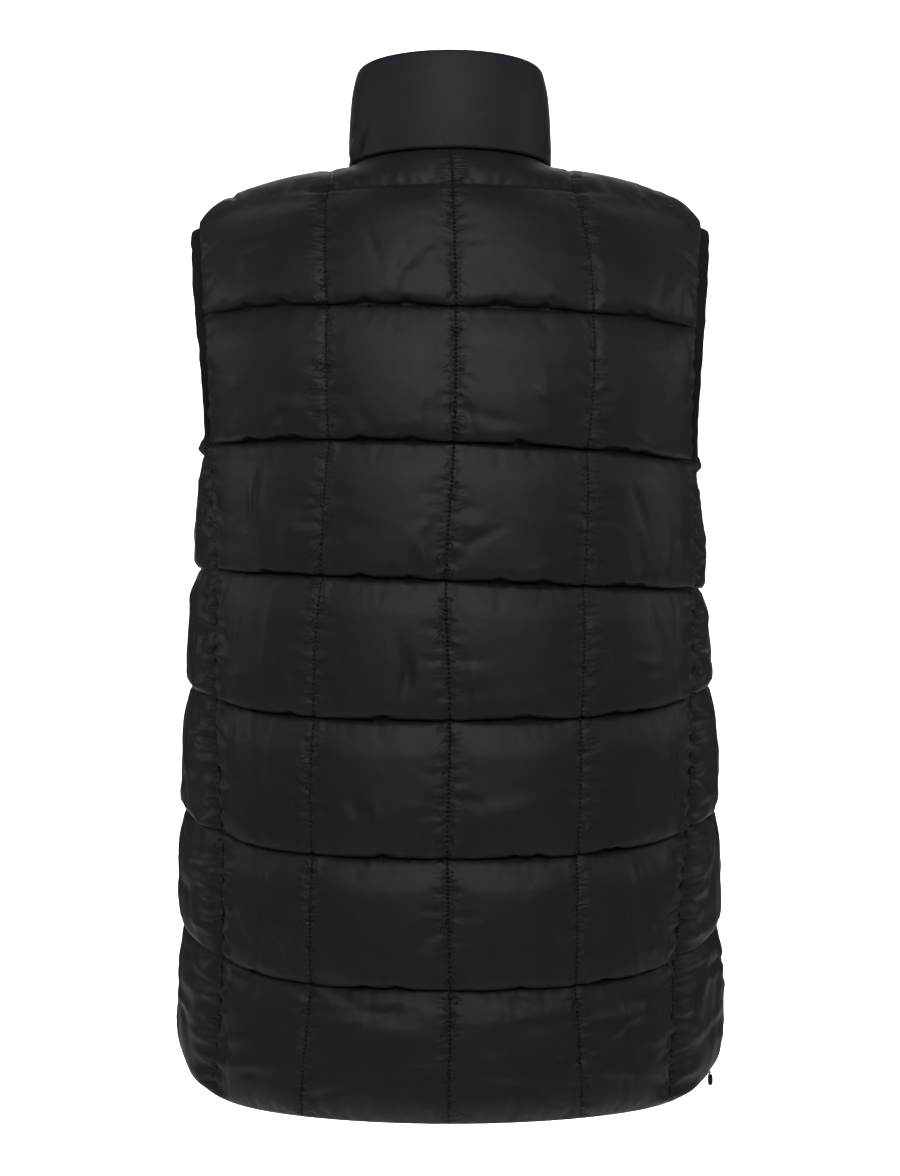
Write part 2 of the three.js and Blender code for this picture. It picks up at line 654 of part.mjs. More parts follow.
// The tab's bar is in the middle of the bow's opening, just above its lower bar.
function makePull(slider) {
  const pivot = vec(0, slider.front - (BOW.reach - BOW.bar) / 2,
    slider.middle - BOW.height / 2 + BOW.bar + PULL.bar / 2 + PULL.lift);
  const half = PULL.width / 2;
  const top = PULL.bar / 2;
  const shape = new THREE.Shape();
  shape.moveTo(-half, top);
  shape.lineTo(-half, top - PULL.length + half);
  shape.absarc(0, top - PULL.length + half, half, Math.PI, 2 * Math.PI, false);
  shape.lineTo(half, top);
  const slot = PULL.slotWidth / 2;
  shape.holes.push(new THREE.Path(rectangle(-slot, -top - PULL.slotHeight, slot, -top)));
  const tab = new THREE.ExtrudeGeometry(shape, {
    depth: PULL.thick, bevelEnabled: false, curveSegments: PULL_SEGMENTS,
  });
  tab.translate(0, 0, -PULL.thick / 2);
  tab.rotateX(Math.PI / 2);
  tab.translate(pivot.x, pivot.y, pivot.z);
  return tab;
}

// Cord loop: two strands that come down inside the hem and meet in a moulded end.
function cordStrand(side) {
  const angle = -CORD.angle;
  const hem = linePoint(0, angle);
  const tangent = linePoint(0, angle + 1).sub(linePoint(0, angle - 1)).setZ(0).normalize();
  const outward = vec(-tangent.y, tangent.x, 0);
  if (outward.dot(hem) < 0) outward.negate();
  const inset = WALL + CORD_CLEAR + CORD.diameter / 2;
  const points = [];
  for (let k = 0; k <= CORD.steps; k += 1) {
    const t = k / CORD.steps;
    const down = lerp(-CORD.inside, CORD.below, t);
    const below = Math.max(down, 0) / CORD.below;
    const apart = lerp(CORD.spread, CORD.join, below) / 2 * side;
    points.push(hem.clone().addScaledVector(tangent, apart)
      .addScaledVector(outward, CORD_SWAY * below * below - inset)
      .setZ(hem.z - down));
  }
  return { points, tangent, outward };
}
function tube(points, radius, sides) {
  return points.map((point, k) => {
    const along = points[Math.min(k + 1, points.length - 1)].clone().sub(points[Math.max(k - 1, 0)]);
    const first = vec(1, 0, 0).cross(along).normalize();
    const second = along.normalize().clone().cross(first);
    return Array.from({ length: sides }, (_, n) => {
      const turn = 2 * Math.PI * n / sides;
      return point.clone().addScaledVector(first, radius * Math.cos(turn))
        .addScaledVector(second, radius * Math.sin(turn));
    });
  });
}
function makeCordEnd(top) {
  const profile = CORD_END_PROFILE.map(({ out, down }) => (
    new THREE.Vector2(out * CORD_END.width, -down * CORD_END.height)));
  const end = new THREE.LatheGeometry(profile, CORD_END.sides);
  end.rotateX(Math.PI / 2);
  end.translate(top.x, top.y, top.z);
  return end;
}

const places = zipPlaces(fronts[1], fronts[-1]);
const tapeIn = CHAIN_HALF + SEAM_GAP / 2;
const tapeOut = ZIP_HALF - SEAM_GAP / 2;
addLoft('zip_tape_left', zipStrip(places, tapeIn, tapeOut, -TAPE, 0), false, 'tape');
addLoft('zip_tape_right', zipStrip(places, -tapeOut, -tapeIn, -TAPE, 0), false, 'tape');
const chainHalf = CHAIN_HALF - SEAM_GAP / 2;
addLoft('zip_chain', zipStrip(places, -chainHalf, chainHalf, CHAIN_TOP - CHAIN, CHAIN_TOP), false, 'tape');
const slider = makeSlider();
addSolid('zip_slider', toSolid(slider.plate).add(toSolid(slider.bow)), 'metal');
addSolid('zip_pull', toSolid(makePull(slider)), 'metal');
const strands = [cordStrand(-1), cordStrand(1)];
['cord_strand_back', 'cord_strand_front'].forEach((name, k) => {
  addLoft(name, tube(strands[k].points, CORD.diameter / 2, CORD.sides), false, 'cord');
});
const [endA, endB] = strands.map((strand) => strand.points[CORD.steps]);
const endTop = endA.clone().add(endB).multiplyScalar(0.5);
endTop.z -= SEAM_GAP * 2;
addSolid('cord_end', toSolid(makeCordEnd(endTop)), 'moulded');

export default vest;
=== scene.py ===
"""Looks of a quilted puffer vest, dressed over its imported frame.

Tables are in millimetres and degrees, as in the part's source. Everything made here is in
metres: +Z up, the front faces -Y and +X is the wearer's left.
"""
import math

import bmesh
import bpy
import numpy as np
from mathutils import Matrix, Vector


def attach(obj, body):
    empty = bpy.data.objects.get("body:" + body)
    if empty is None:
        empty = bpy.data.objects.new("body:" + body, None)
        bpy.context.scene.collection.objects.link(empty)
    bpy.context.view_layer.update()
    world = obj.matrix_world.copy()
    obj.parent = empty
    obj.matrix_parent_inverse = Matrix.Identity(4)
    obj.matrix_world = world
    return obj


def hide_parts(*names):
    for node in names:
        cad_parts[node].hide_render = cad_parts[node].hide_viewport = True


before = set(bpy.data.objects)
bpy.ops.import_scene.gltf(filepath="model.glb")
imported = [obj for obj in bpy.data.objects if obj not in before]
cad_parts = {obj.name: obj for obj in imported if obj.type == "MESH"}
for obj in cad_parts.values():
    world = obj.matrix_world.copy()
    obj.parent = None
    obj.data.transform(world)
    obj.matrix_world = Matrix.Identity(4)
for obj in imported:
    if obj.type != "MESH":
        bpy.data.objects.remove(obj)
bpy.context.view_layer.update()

MM = 0.001


def table(keys, *rows):
    """A list of rows with named columns."""
    return [dict(zip(keys.split(), row)) for row in rows]


# The quilting lines and upright stitch lines, as in the part's source
WALL = 2.5
CELL = 5                      # the part's steps in a square
ZIP_EDGE = 9.15               # from the middle of the zip to a front's edge
UNDERARM = 5                  # the line at the armhole's foot, counted from the hem
CHEST = 6                     # the highest line of the fronts
FRONT_REAR_SHARE = 0.6
ARMHOLE_ROUND = 9
UNDERARM_DIP = 8
NECK_BEND = 0.28
ARM_BEND = 0.52
LINES = table(
    "z back half side point rise late tilt puff front fhalf",
    (-724, 131, 210, 0, 1, 26, 12, 0, 12, 121, 210),
    (-624, 131, 209, 0, 1, 26, 4, 0, 13, 121, 209),
    (-529, 131, 207, 0, 1, 21, 4, 0, 13, 121, 207),
    (-429, 131, 203, 0, 1, 18, 4, 0, 13, 121, 203),
    (-328, 131, 197, 0, 1, 0, 4, 8, 13, 120, 197),
    (-228, 130, 194, 0, 1, -3, 4, 7, 13, 118, 194),
    (-129, 121, 213, 12, 1.2, -9, 6, 6, 13, 108, 205),
    (-32, 84, 205, 10, 4, -38, 14, 0, 3, 84, 205),
)
UPRIGHTS = table(
    "seamL midL mid midR seamR front frontMid",
    (57, 108, 1, -95, 51, 73, 103),
    (54, 100, 0, -90, 53, 73, 101),
    (55, 99, 2, -91, 59, 73, 100),
    (60, 98, 0, -94, 64, 73, 99),
    (63, 92, 3, -96, 70, 73, 98),
    (71, 87, -3, -99, 74, 73, 97),
    (62, 89, -4, -104, 62, 58, 95),
    (75, 92, -2, -94, 75, 58, 95),
)
BACK_COLUMNS = 4
FRONT_COLUMNS = 3
BACK_FULL = len(LINES) - 1    # the line below the yoke strip
NECK = dict(half=77, back=61, front=-86, side=-8, drop=45, late=2)
SHOULDER = dict(stitchX=93, stitchZ=-2, seamY=-14, tipX=196, tipY=-26, tipZ=-52, fall=1.4, crown=5)
COLLAR = dict(height=77, extra=14, thick=8, lean=6, bulge=1.5, gap=0.5)
ZIP_TOP = 84
BAND_WIDTH = 9
BAND_FLARE = 0.9
SIDE_PUFF = 0.45
SIDE_LATE = 5
SIDE_RATIO = 1.6


def placed(name, data):
    """A new object in the scene."""
    made = bpy.data.objects.new(name, data)
    bpy.context.scene.collection.objects.link(made)
    return made


def make_camera():
    """Level camera behind the wearer, at the photograph's distance and height."""
    data = bpy.data.cameras.new("camera")
    data.sensor_fit = "VERTICAL"
    data.sensor_height = 24
    data.lens = 36.84
    camera = placed("camera", data)
    camera.location = (0, 1.440, -0.3356)
    camera.rotation_euler = (math.pi / 2, 0, math.pi)
    bpy.context.scene.camera = camera


make_camera()


def lerp(a, b, t):
    return a + (b - a) * t


def unit(vectors):
    return vectors / np.maximum(np.linalg.norm(vectors, axis=-1, keepdims=True), 1e-12)


# The plain surfaces that the quilting is sewn to

def line_point(level, angle):
    """Point of a quilting line at an angle round from the centre back."""
    line = LINES[level]
    turn = math.radians(abs(angle))
    side = -1 if angle < 0 else 1
    sin = math.sin(turn)
    front = abs(angle) > 90
    depth = line["front"] if front else line["back"]
    fall = abs(math.cos(turn)) ** line["point"]
    y = line["side"] + (depth - line["side"]) * fall
    late = sin ** line["late"]
    share = lerp(FRONT_REAR_SHARE, 1, late) if front else late
    height = line["z"] + line["rise"] * share + line["tilt"] * side * sin
    half = line["fhalf"] if front else line["half"]
    return np.array([side * half * sin, -y if front else y, height])


def back_angle(level, x):
    return math.degrees(math.asin(x / LINES[level]["half"]))


def front_angle(level, x):
    return 180 - math.degrees(math.asin(x / LINES[level]["fhalf"]))


def neck_point(angle):
    """Point of the neck seam at an angle round from the centre back."""
    turn = math.radians(abs(angle))
    sin, cos = math.sin(turn), math.cos(turn)
    depth = NECK["back"] - NECK["side"] if cos > 0 else NECK["side"] - NECK["front"]
    drop = 0 if cos > 0 else NECK["drop"] * abs(cos) ** NECK["late"]
    side = -1 if angle < 0 else 1
    return np.array([side * NECK["half"] * sin, NECK["side"] + depth * cos, -drop])


ZIP_NECK_ANGLE = 180 - math.degrees(math.asin(ZIP_EDGE / NECK["half"]))


def shoulder_point(share, side):
    """Point of the shoulder seam, from 0 at the stitch line to 1 at the tip."""
    crown = SHOULDER["crown"] * 4 * share * (1 - share)
    return np.array([
        side * lerp(SHOULDER["stitchX"], SHOULDER["tipX"], share),
        lerp(SHOULDER["seamY"], SHOULDER["tipY"], share),
        lerp(SHOULDER["stitchZ"], SHOULDER["tipZ"], max(share, 0) ** SHOULDER["fall"]) + crown,
    ])


def top_edge(columns, side, front):
    """Upper edge of a panel so many columns out from its centre line, and how far out it is."""
    steps = columns * CELL
    neck_steps = CELL - 1
    if steps <= neck_steps:
        start = ZIP_NECK_ANGLE if front else 0
        return neck_point(lerp(start, 90, steps / neck_steps) * side), 0.0
    outward = (steps - neck_steps) / (2 * CELL - neck_steps)
    if steps < CELL:
        return lerp(neck_point(90 * side), shoulder_point(0, side), steps - neck_steps), outward
    return shoulder_point((steps - CELL) / CELL, side), outward


def through(points, places):
    """Smooth curve through a list of points, read at places counted in points."""
    points = np.array(points)
    last = len(points) - 1
    here = np.minimum(np.floor(places).astype(int), last - 1)
    t = (places - here)[:, None]
    after = np.minimum(np.arange(last + 1) + 1, last)
    before = np.maximum(np.arange(last + 1) - 1, 0)
    tangents = (points[after] - points[before]) / (after - before)[:, None]
    return (
        points[here] * (2 * t ** 3 - 3 * t ** 2 + 1)
        + tangents[here] * (t ** 3 - 2 * t ** 2 + t)
        + points[here + 1] * (3 * t ** 2 - 2 * t ** 3)
        + tangents[here + 1] * (t ** 3 - t ** 2)
    )


def bend_over(curve, points, full, end, ups, bend):
    """Carries a column on from its last line, bending over to the upper edge."""
    start = points[full]
    heading = unit(start - through(points, np.array([full - 0.2]))[0])
    middle = start + heading * np.linalg.norm(end - start) * bend
    t = np.clip(ups - full, 0, 1)[:, None]
    over = start * (1 - t) ** 2 + middle * 2 * t * (1 - t) + end * t * t
    return np.where(ups[:, None] > full, over, curve)


def round_armhole(curve, ups, share, side, front):
    """Rounds out the armhole above the underarm, fading across the last column."""
    if share <= 0:
        return curve
    inside = (ups > UNDERARM) & (ups < CHEST)
    swell = np.sin(np.pi * np.clip(ups - UNDERARM, 0, 1)) ** 0.7
    shift = np.where(inside, ARMHOLE_ROUND * swell * share ** 2, 0)
    curve[:, 0] -= side * shift * 0.25
    curve[:, 1] += -shift if front else shift
    return curve


def back_curve(across, ups):
    """One column of the back, counted in squares from the seam on the wearer's right."""
    column = min(int(across), BACK_COLUMNS - 1)
    points = []
    for level, up in enumerate(UPRIGHTS):
        middle = [back_angle(level, up[key]) for key in ("midR", "mid", "midL")]
        stops = [-up["seamR"], *middle, up["seamL"]]
        angle = lerp(stops[column], stops[column + 1], across - column)
        points.append(line_point(level, angle))
    side = -1 if across < 2 else 1
    out = abs(across - 2)
    curve = through(points, np.minimum(ups, BACK_FULL))
    curve = round_armhole(curve, ups, out - 1, side, False)
    end, outward = top_edge(out, side, False)
    return bend_over(curve, points, BACK_FULL, end, ups, lerp(NECK_BEND, ARM_BEND, outward))


def front_curve(side):
    """One column of a front, counted in squares from the zip."""
    def curve_at(across, ups):
        column = min(int(across), FRONT_COLUMNS - 1)
        points = []
        for level in range(CHEST + 1):
            up = UPRIGHTS[level]
            seam = up["seamL"] if side > 0 else up["seamR"]
            stops = [front_angle(level, ZIP_EDGE), front_angle(level, up["frontMid"]),
                     180 - up["front"], seam]
            angle = lerp(stops[column], stops[column + 1], across - column)
            points.append(line_point(level, side * angle))
        curve = through(points, np.minimum(ups, CHEST))
        if across > 2:
            near = np.clip(ups - UNDERARM + 1, 0, 1) ** 2
            curve[:, 2] -= UNDERARM_DIP * math.sin(math.pi * (across - 2)) * near
            return curve
        curve = round_armhole(curve, ups, across - 1, side, True)
        end, outward = top_edge(across, side, True)
        return bend_over(curve, points, CHEST, end, ups, lerp(NECK_BEND, ARM_BEND, outward))
    return curve_at


# Materials

def add(tree, kind, **inputs):
    """A shader node with some of its sockets set or linked."""
    node = tree.nodes.new(kind)
    for key, value in inputs.items():
        socket = node.inputs[key.replace("_", " ")]
        if isinstance(value, bpy.types.NodeSocket):
            tree.links.new(value, socket)
        else:
            socket.default_value = value
    return node


def object_place(tree):
    return add(tree, "ShaderNodeTexCoord").outputs["Object"]


def flat_place(tree, title):
    """Place in one of the mesh's flat maps: metres along the cloth, or squares."""
    node = add(tree, "ShaderNodeUVMap")
    node.uv_map = title
    return node.outputs["UV"]


def noise(tree, vector, scale, detail=2.0, roughness=0.5):
    return add(tree, "ShaderNodeTexNoise", Vector=vector, Scale=scale, Detail=detail,
               Roughness=roughness).outputs["Fac"]


def mix_colours(tree, share, low, high):
    ramp = add(tree, "ShaderNodeValToRGB", Fac=share)
    for stop, position, colour in zip(ramp.color_ramp.elements, (0.3, 0.7), (low, high)):
        stop.position = position
        stop.color = (*colour, 1)
    return ramp.outputs["Color"]


def bump(tree, height, distance, strength, **below):
    return add(tree, "ShaderNodeBump", Height=height, Distance=distance, Strength=strength,
               **below).outputs["Normal"]


def weave(tree, vector, pitch):
    """Height of a plain weave: two sets of threads that cross."""
    heights = []
    for direction in ("X", "Y"):
        wave = add(tree, "ShaderNodeTexWave", Vector=vector, Scale=math.pi / (10 * pitch), Distortion=0.4)
        wave.bands_direction = direction
        heights.append(wave.outputs["Fac"])
    return math_node(tree, "MAXIMUM", *heights)


def material(name, roughness, specular=0.5):
    made = bpy.data.materials.new(name)
    made.use_nodes = True
    shader = made.node_tree.nodes["Principled BSDF"]
    shader.inputs["Roughness"].default_value = roughness
    shader.inputs["Specular IOR Level"].default_value = specular
    return made, made.node_tree, shader


CLOTH_SHINE = 0.36
ROUGH_SPREAD = 0.06           # how far the roughness wanders each way


def cloth_material(name, low, high, roughness, pitch, crinkle):
    """Woven cloth: threads, small crinkles and soft unevenness, over a mottled colour."""
    made, tree, shader = material(name, roughness, CLOTH_SHINE)
    place = object_place(tree)
    cloud = noise(tree, place, 14, 4, 0.6)
    tree.links.new(mix_colours(tree, cloud, low, high), shader.inputs["Base Color"])
    folds = bump(tree, noise(tree, place, 38, 3, 0.55), 1.6 * MM, crinkle)
    crinkles = bump(tree, noise(tree, place, 160, 4, 0.6), 0.4 * MM, crinkle, Normal=folds)
    threads = bump(tree, weave(tree, flat_place(tree, "cloth"), pitch), 0.06 * MM, 0.35, Normal=crinkles)
    tree.links.new(threads, shader.inputs["Normal"])
    rough = add(tree, "ShaderNodeMapRange", Value=noise(tree, place, 60, 3),
                To_Min=roughness - ROUGH_SPREAD, To_Max=roughness + ROUGH_SPREAD)
    tree.links.new(rough.outputs["Result"], shader.inputs["Roughness"])
    return made


def math_node(tree, operation, first, second=None, third=None, clamp=False):
    node = tree.nodes.new("ShaderNodeMath")
    node.operation = operation
    node.use_clamp = clamp
    for socket, value in zip(node.inputs, (first, second, third)):
        if isinstance(value, (int, float)):
            socket.default_value = value
        elif value is not None:
            tree.links.new(value, socket)
    return node.outputs[0]


def near(tree, distance, reach):
    """1 at a stitch line, falling smoothly to 0 at a distance in squares."""
    node = add(tree, "ShaderNodeMapRange", Value=distance, From_Min=reach, From_Max=0.0)
    node.interpolation_type = "SMOOTHERSTEP"
    return node.outputs["Result"]


def stretched(tree, vector, across, up, turn=0.0):
    """Coordinates that are scaled, after a turn in degrees."""
    return add(tree, "ShaderNodeMapping", Vector=vector, Rotation=(0, 0, math.radians(turn)),
               Scale=(across, up, 1)).outputs["Vector"]


def times(tree, first, second, clamp=False):
    return math_node(tree, "MULTIPLY", first, second, clamp=clamp)


def creases(tree, vector, thin, above):
    """Thin winding lines, 1 along the line, only where a second noise is high enough."""
    wander = math_node(tree, "SUBTRACT", noise(tree, vector, 1, 1), 0.5)
    line = near(tree, math_node(tree, "ABSOLUTE", wander), thin)
    some = math_node(tree, "SUBTRACT", noise(tree, vector, 0.45, 1), above)
    return times(tree, line, times(tree, some, 9.0, clamp=True))


# Painted shade: mixes a dark colour into a colour by a share, standing in for shade in recesses.
def paint_shade(tree, colour, share, dark):
    mix = tree.nodes.new("ShaderNodeMix")
    mix.data_type = "RGBA"
    tree.links.new(share, mix.inputs[0])
    tree.links.new(colour, mix.inputs[6])
    mix.inputs[7].default_value = (*dark, 1)
    return mix.outputs[2]


# Creases beside the stitch lines: which line, scale across and up, turn (degrees), half
# width, how rare, and how far from the line they reach (squares).
CREASE_SETS = table(
    "line across up turn thin rare reach",
    ("X", 7, 16, 32, 0.028, 0.52, 0.13),
    ("X", 13, 27, -28, 0.04, 0.53, 0.08),
    ("Y", 40, 12, 10, 0.05, 0.55, 0.07),
)
STITCH_PITCH = 0.031          # in squares
HOLE_REACH = 0.014


def quilt_material():
    """The quilted cloth: creases that hook off the stitch lines and a dimple at every stitch, each bumped
    in and with painted shade darkening the colour along it.
    """
    made = cloth_material("quilted_taffeta", CLOTH_LOW, CLOTH_HIGH, 0.52, 0.00045, 0.3)
    tree = made.node_tree
    shader = tree.nodes["Principled BSDF"]
    below = shader.inputs["Normal"].links[0].from_socket
    square = flat_place(tree, "squares")
    parts = add(tree, "ShaderNodeSeparateXYZ", Vector=square).outputs
    away = {line: math_node(tree, "PINGPONG", parts[line], 0.5) for line in ("X", "Y")}
    sharp = 0.0
    for row in CREASE_SETS:
        lines = creases(tree, stretched(tree, square, row["across"], row["up"], row["turn"]),
                        row["thin"], row["rare"])
        lines = times(tree, lines, near(tree, away[row["line"]], row["reach"]))
        sharp = math_node(tree, "MAXIMUM", sharp, lines)
    swell = noise(tree, stretched(tree, square, 9, 17, 20), 1, 1, 0.6)
    soft = bump(tree, times(tree, swell, near(tree, away["X"], 0.16)), 3.2 * MM, 0.7, Normal=below)
    puckers = bump(tree, times(tree, sharp, -1.0), 1.1 * MM, 1.0, Normal=soft)
    beat = math_node(tree, "SINE", times(tree, parts["Y"], 2 * math.pi / STITCH_PITCH))
    pulse = math_node(tree, "MULTIPLY_ADD", beat, 0.5, 0.5)
    dimple = times(tree, near(tree, away["X"], HOLE_REACH), pulse)
    holes = bump(tree, times(tree, dimple, -1.0), 1 * MM, 1.0, Normal=puckers)
    tree.links.new(holes, shader.inputs["Normal"])
    colour = shader.inputs["Base Color"].links[0].from_socket
    # Painted shade: the base colour is darkened along the creases and in each stitch dimple, where shade
    # would fall.
    colour = paint_shade(tree, colour, times(tree, sharp, 0.7), PAINTED_SHADE_COLOUR)
    colour = paint_shade(tree, colour, times(tree, dimple, 0.85), PAINTED_SHADE_COLOUR)
    tree.links.new(colour, shader.inputs["Base Color"])
    return made


CLOTH_LOW = (0.0135, 0.0146, 0.0178)
CLOTH_HIGH = (0.0165, 0.0178, 0.0216)
# Colour of the painted shade in the quilt's creases and stitch dimples
PAINTED_SHADE_COLOUR = (0.002, 0.002, 0.0024)
QUILT = quilt_material()
COLLAR_CLOTH, BINDING, TAPE_CLOTH, THREAD, CORD_CLOTH = (cloth_material(*row) for row in (
    ("collar_taffeta", (0.0175, 0.0188, 0.0228), (0.0205, 0.022, 0.0266), 0.62, 0.00045, 0.25),
    ("elastic_binding", (0.004, 0.004, 0.0044), (0.006, 0.006, 0.0066), 0.85, 0.0009, 0.3),
    ("zip_tape_weave", (0.006, 0.006, 0.0066), (0.009, 0.009, 0.0098), 0.8, 0.0008, 0.15),
    ("sewing_thread", (0.003, 0.003, 0.0034), (0.0045, 0.0046, 0.005), 0.6, 0.0004, 0.1),
    ("cord_braid", (0.004, 0.004, 0.0045), (0.007, 0.007, 0.0078), 0.75, 0.0006, 0.2),
))


def hard_material(name, colour, roughness, metal, grain):
    """Moulded or plated finish with fine grain and faint wear."""
    made, tree, shader = material(name, roughness)
    shader.inputs["Metallic"].default_value = metal
    place = object_place(tree)
    worn = tuple(channel * 1.7 for channel in colour)
    wear = noise(tree, place, 420, 5, 0.65)
    tree.links.new(mix_colours(tree, wear, colour, worn), shader.inputs["Base Color"])
    tree.links.new(bump(tree, noise(tree, place, 2600, 2), 0.04 * MM, grain), shader.inputs["Normal"])
    return made


METAL = hard_material("zip_metal", (0.02, 0.02, 0.022), 0.38, 0.9, 0.3)
TEETH = hard_material("zip_teeth", (0.009, 0.009, 0.01), 0.42, 0.0, 0.2)
MOULDED = hard_material("cord_end_plastic", (0.008, 0.008, 0.009), 0.45, 0.0, 0.5)


# Mesh making

def make_object(name, points, faces, look, uvs=None, smooth=True):
    """A mesh object in metres that rides on the vest."""
    mesh = bpy.data.meshes.new(name)
    mesh.from_pydata([tuple(point) for point in points], [], faces)
    mesh.validate()
    for title, flat in (uvs or {}).items():
        layer = mesh.uv_layers.new(name=title)
        corners = np.empty(len(mesh.loops), dtype=int)
        mesh.loops.foreach_get("vertex_index", corners)
        layer.data.foreach_set("uv", np.asarray(flat)[corners].ravel())
    mesh.materials.append(look)
    if smooth:
        mesh.polygons.foreach_set("use_smooth", [True] * len(mesh.polygons))
    made = placed(name, mesh)
    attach(made, "vest")
    return made


def face_outward(made, joined=False):
    """Turns all the faces of a closed mesh to the outside, with doubled points joined if asked."""
    work = bmesh.new()
    work.from_mesh(made.data)
    if joined:
        bmesh.ops.remove_doubles(work, verts=work.verts, dist=0.001 * MM)
    bmesh.ops.recalc_face_normals(work, faces=work.faces)
    work.to_mesh(made.data)
    work.free()


def grid_faces(index, kept):
    """Quads over a grid of vertex numbers, where kept is true for the square."""
    corners = np.stack([index[:-1, :-1], index[1:, :-1], index[1:, 1:], index[:-1, 1:]], axis=-1)
    return corners[kept]


def ring_quads(rings, sides):
    """Quads between rings of points, each ring with so many sides."""
    return [(low + k, low + (k + 1) % sides, low + sides + (k + 1) % sides, low + sides + k)
            for low in range(0, (rings - 1) * sides, sides) for k in range(sides)]


def nearest(steps, value):
    """Number of the step that is nearest to a value."""
    return int(np.argmin(abs(steps - value)))


def so_far(points):
    """Length along a line of points, from its start to each of them."""
    steps = np.linalg.norm(np.diff(points, axis=0), axis=1)
    return np.concatenate([[0], np.cumsum(steps)])


def read_at(places, length, values):
    """Rows of values that go with lengths along a line, read at other places on it."""
    return np.stack([np.interp(places, length, column) for column in values.T], axis=1)


def outward_normals(grid, out):
    """Normals of a grid of points, on the side that faces a direction."""
    normals = unit(np.cross(np.gradient(grid, axis=0), np.gradient(grid, axis=1)))
    return -normals if normals[SQUARE, SQUARE].dot(Vector(out)) < 0 else normals


def refine(grid, factor, block, axis):
    """Smooth points between those of a grid, kept sharp at every stitch line."""
    moved = np.moveaxis(grid, axis, 0)
    parts = []
    for start in range(0, len(moved) - 1, block):
        rows = moved[start:start + block + 1]
        padded = np.concatenate([2 * rows[:1] - rows[1:2], rows, 2 * rows[-1:] - rows[-2:-1]])
        places = np.arange((len(rows) - 1) * factor + 1) / factor
        here = np.minimum(places.astype(int), len(rows) - 2)
        t = (places - here).reshape(-1, *[1] * (moved.ndim - 1))
        a, b, c, d = (padded[here + k] for k in range(4))
        fine = 0.5 * (2 * b + (c - a) * t + (2 * a - 5 * b + 4 * c - d) * t ** 2
                      + (3 * b - a - 3 * c + d) * t ** 3)
        parts.append(fine if start == 0 else fine[1:])
    return np.moveaxis(np.concatenate(parts), 0, axis)


# Cord at the hem

CORD = dict(diameter=1.5, angle=-76, spread=3.4, join=1.8, inside=24, below=8.5, steps=18)
CORD_CLEAR = 1.5              # from the cord to the wall inside the hem
CORD_SWAY = 4                 # how far its end leans outward
CORD_END_PROFILE = table(
    "out down",
    (0, 0), (0.3, 0), (0.42, 0.03), (0.45, 0.1), (0.5, 0.3), (0.52, 0.5), (0.51, 0.7),
    (0.46, 0.85), (0.36, 0.95), (0.2, 0.99), (0, 1),
)
CORD_END = dict(width=4, height=8.5)


def cord_points(side):
    """One strand of the loop, from inside the hem down to the moulded end, as in the source."""
    hem = line_point(0, CORD["angle"])
    tangent = line_point(0, CORD["angle"] + 1) - line_point(0, CORD["angle"] - 1)
    tangent[2] = 0
    tangent = unit(tangent)
    outward = np.array([-tangent[1], tangent[0], 0])
    if outward.dot(hem) < 0:
        outward = -outward
    inset = WALL + CORD_CLEAR + CORD["diameter"] / 2
    points = []
    for step in range(CORD["steps"] + 1):
        down = lerp(-CORD["inside"], CORD["below"], step / CORD["steps"])
        below = max(down, 0) / CORD["below"]
        apart = lerp(CORD["spread"], CORD["join"], below) / 2 * side
        point = hem + tangent * apart + outward * (CORD_SWAY * below ** 2 - inset)
        point[2] = hem[2] - down
        points.append(point * MM)
    return np.array(points)


def make_cord(name, points):
    curve = bpy.data.curves.new(name, "CURVE")
    curve.dimensions = "3D"
    curve.bevel_depth = CORD["diameter"] / 2 * MM
    curve.bevel_resolution = 4
    curve.use_fill_caps = True
    spline = curve.splines.new("POLY")
    spline.points.add(len(points) - 1)
    for target, point in zip(spline.points, points):
        target.co = (*point, 1)
    curve.materials.append(CORD_CLOTH)
    made = placed(name + "_braid", curve)
    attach(made, "vest")
    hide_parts(name)


def make_cord_end(top):
    """Moulded end of the loop, turned round its own middle."""
    sides = 20
    points = []
    for row in CORD_END_PROFILE:
        for k in range(sides):
            turn = 2 * math.pi * k / sides
            out = row["out"] * CORD_END["width"] * MM
            points.append(top + np.array([out * math.cos(turn), out * math.sin(turn),
                                          -row["down"] * CORD_END["height"] * MM]))
    index = np.arange(len(points)).reshape(-1, sides)
    around = np.concatenate([index, index[:, :1]], axis=1)
    faces = grid_faces(around, np.ones((len(index) - 1, sides), dtype=bool)).tolist()
    made = make_object("cord_end_moulded", points, faces, MOULDED)
    face_outward(made, joined=True)
    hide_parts("cord_end")
    return made


strands = {"cord_strand_back": cord_points(-1), "cord_strand_front": cord_points(1)}
cord_top = sum(points[-1] for points in strands.values()) / 2 - np.array([0, 0, 0.6 * MM])
cord_end = make_cord_end(cord_top)
for strand, strand_points in strands.items():
    make_cord(strand, strand_points)


# Quilted panels

SQUARE = 22                   # simulated steps across and up one quilted square
YOKE = 8                      # simulated steps up the strip under the neck
FINER = 2                     # finished steps for each simulated one
STITCH_LIFT = 0.3 * MM        # cloth above the plain surface where it is stitched down
UPRIGHT_PUFF = 0.76           # share of the puff's height at an upright stitch line
SEAM_PUFF = 0.12              # and at a seam or armhole edge
PUFF_LIMIT = 1.35             # most that cloth may stand out, for each unit of puff
DROOP = 1.25                  # above 1, the puffs are fullest below their middle
SAG = 19 * MM                 # how much cloth hangs over the stitch line below
SAG_LOW = 7                   # how close to that line it hangs
CALM = 0.65                   # share of the scallops under a row that is smoothed away
CALM_FROM = 0.72              # how far up a square the smoothing starts
CALM_FADE = 0.16              # and over how much of it the smoothing comes in
HEM_EASE = 2.2                # above 1, the lowest row is flatter towards the hem
TOP_ROUND = BACK_FULL - 0.5   # where the round tops of the shoulders start
TOP_FALL = 1.6                # above 1, they stay full longer
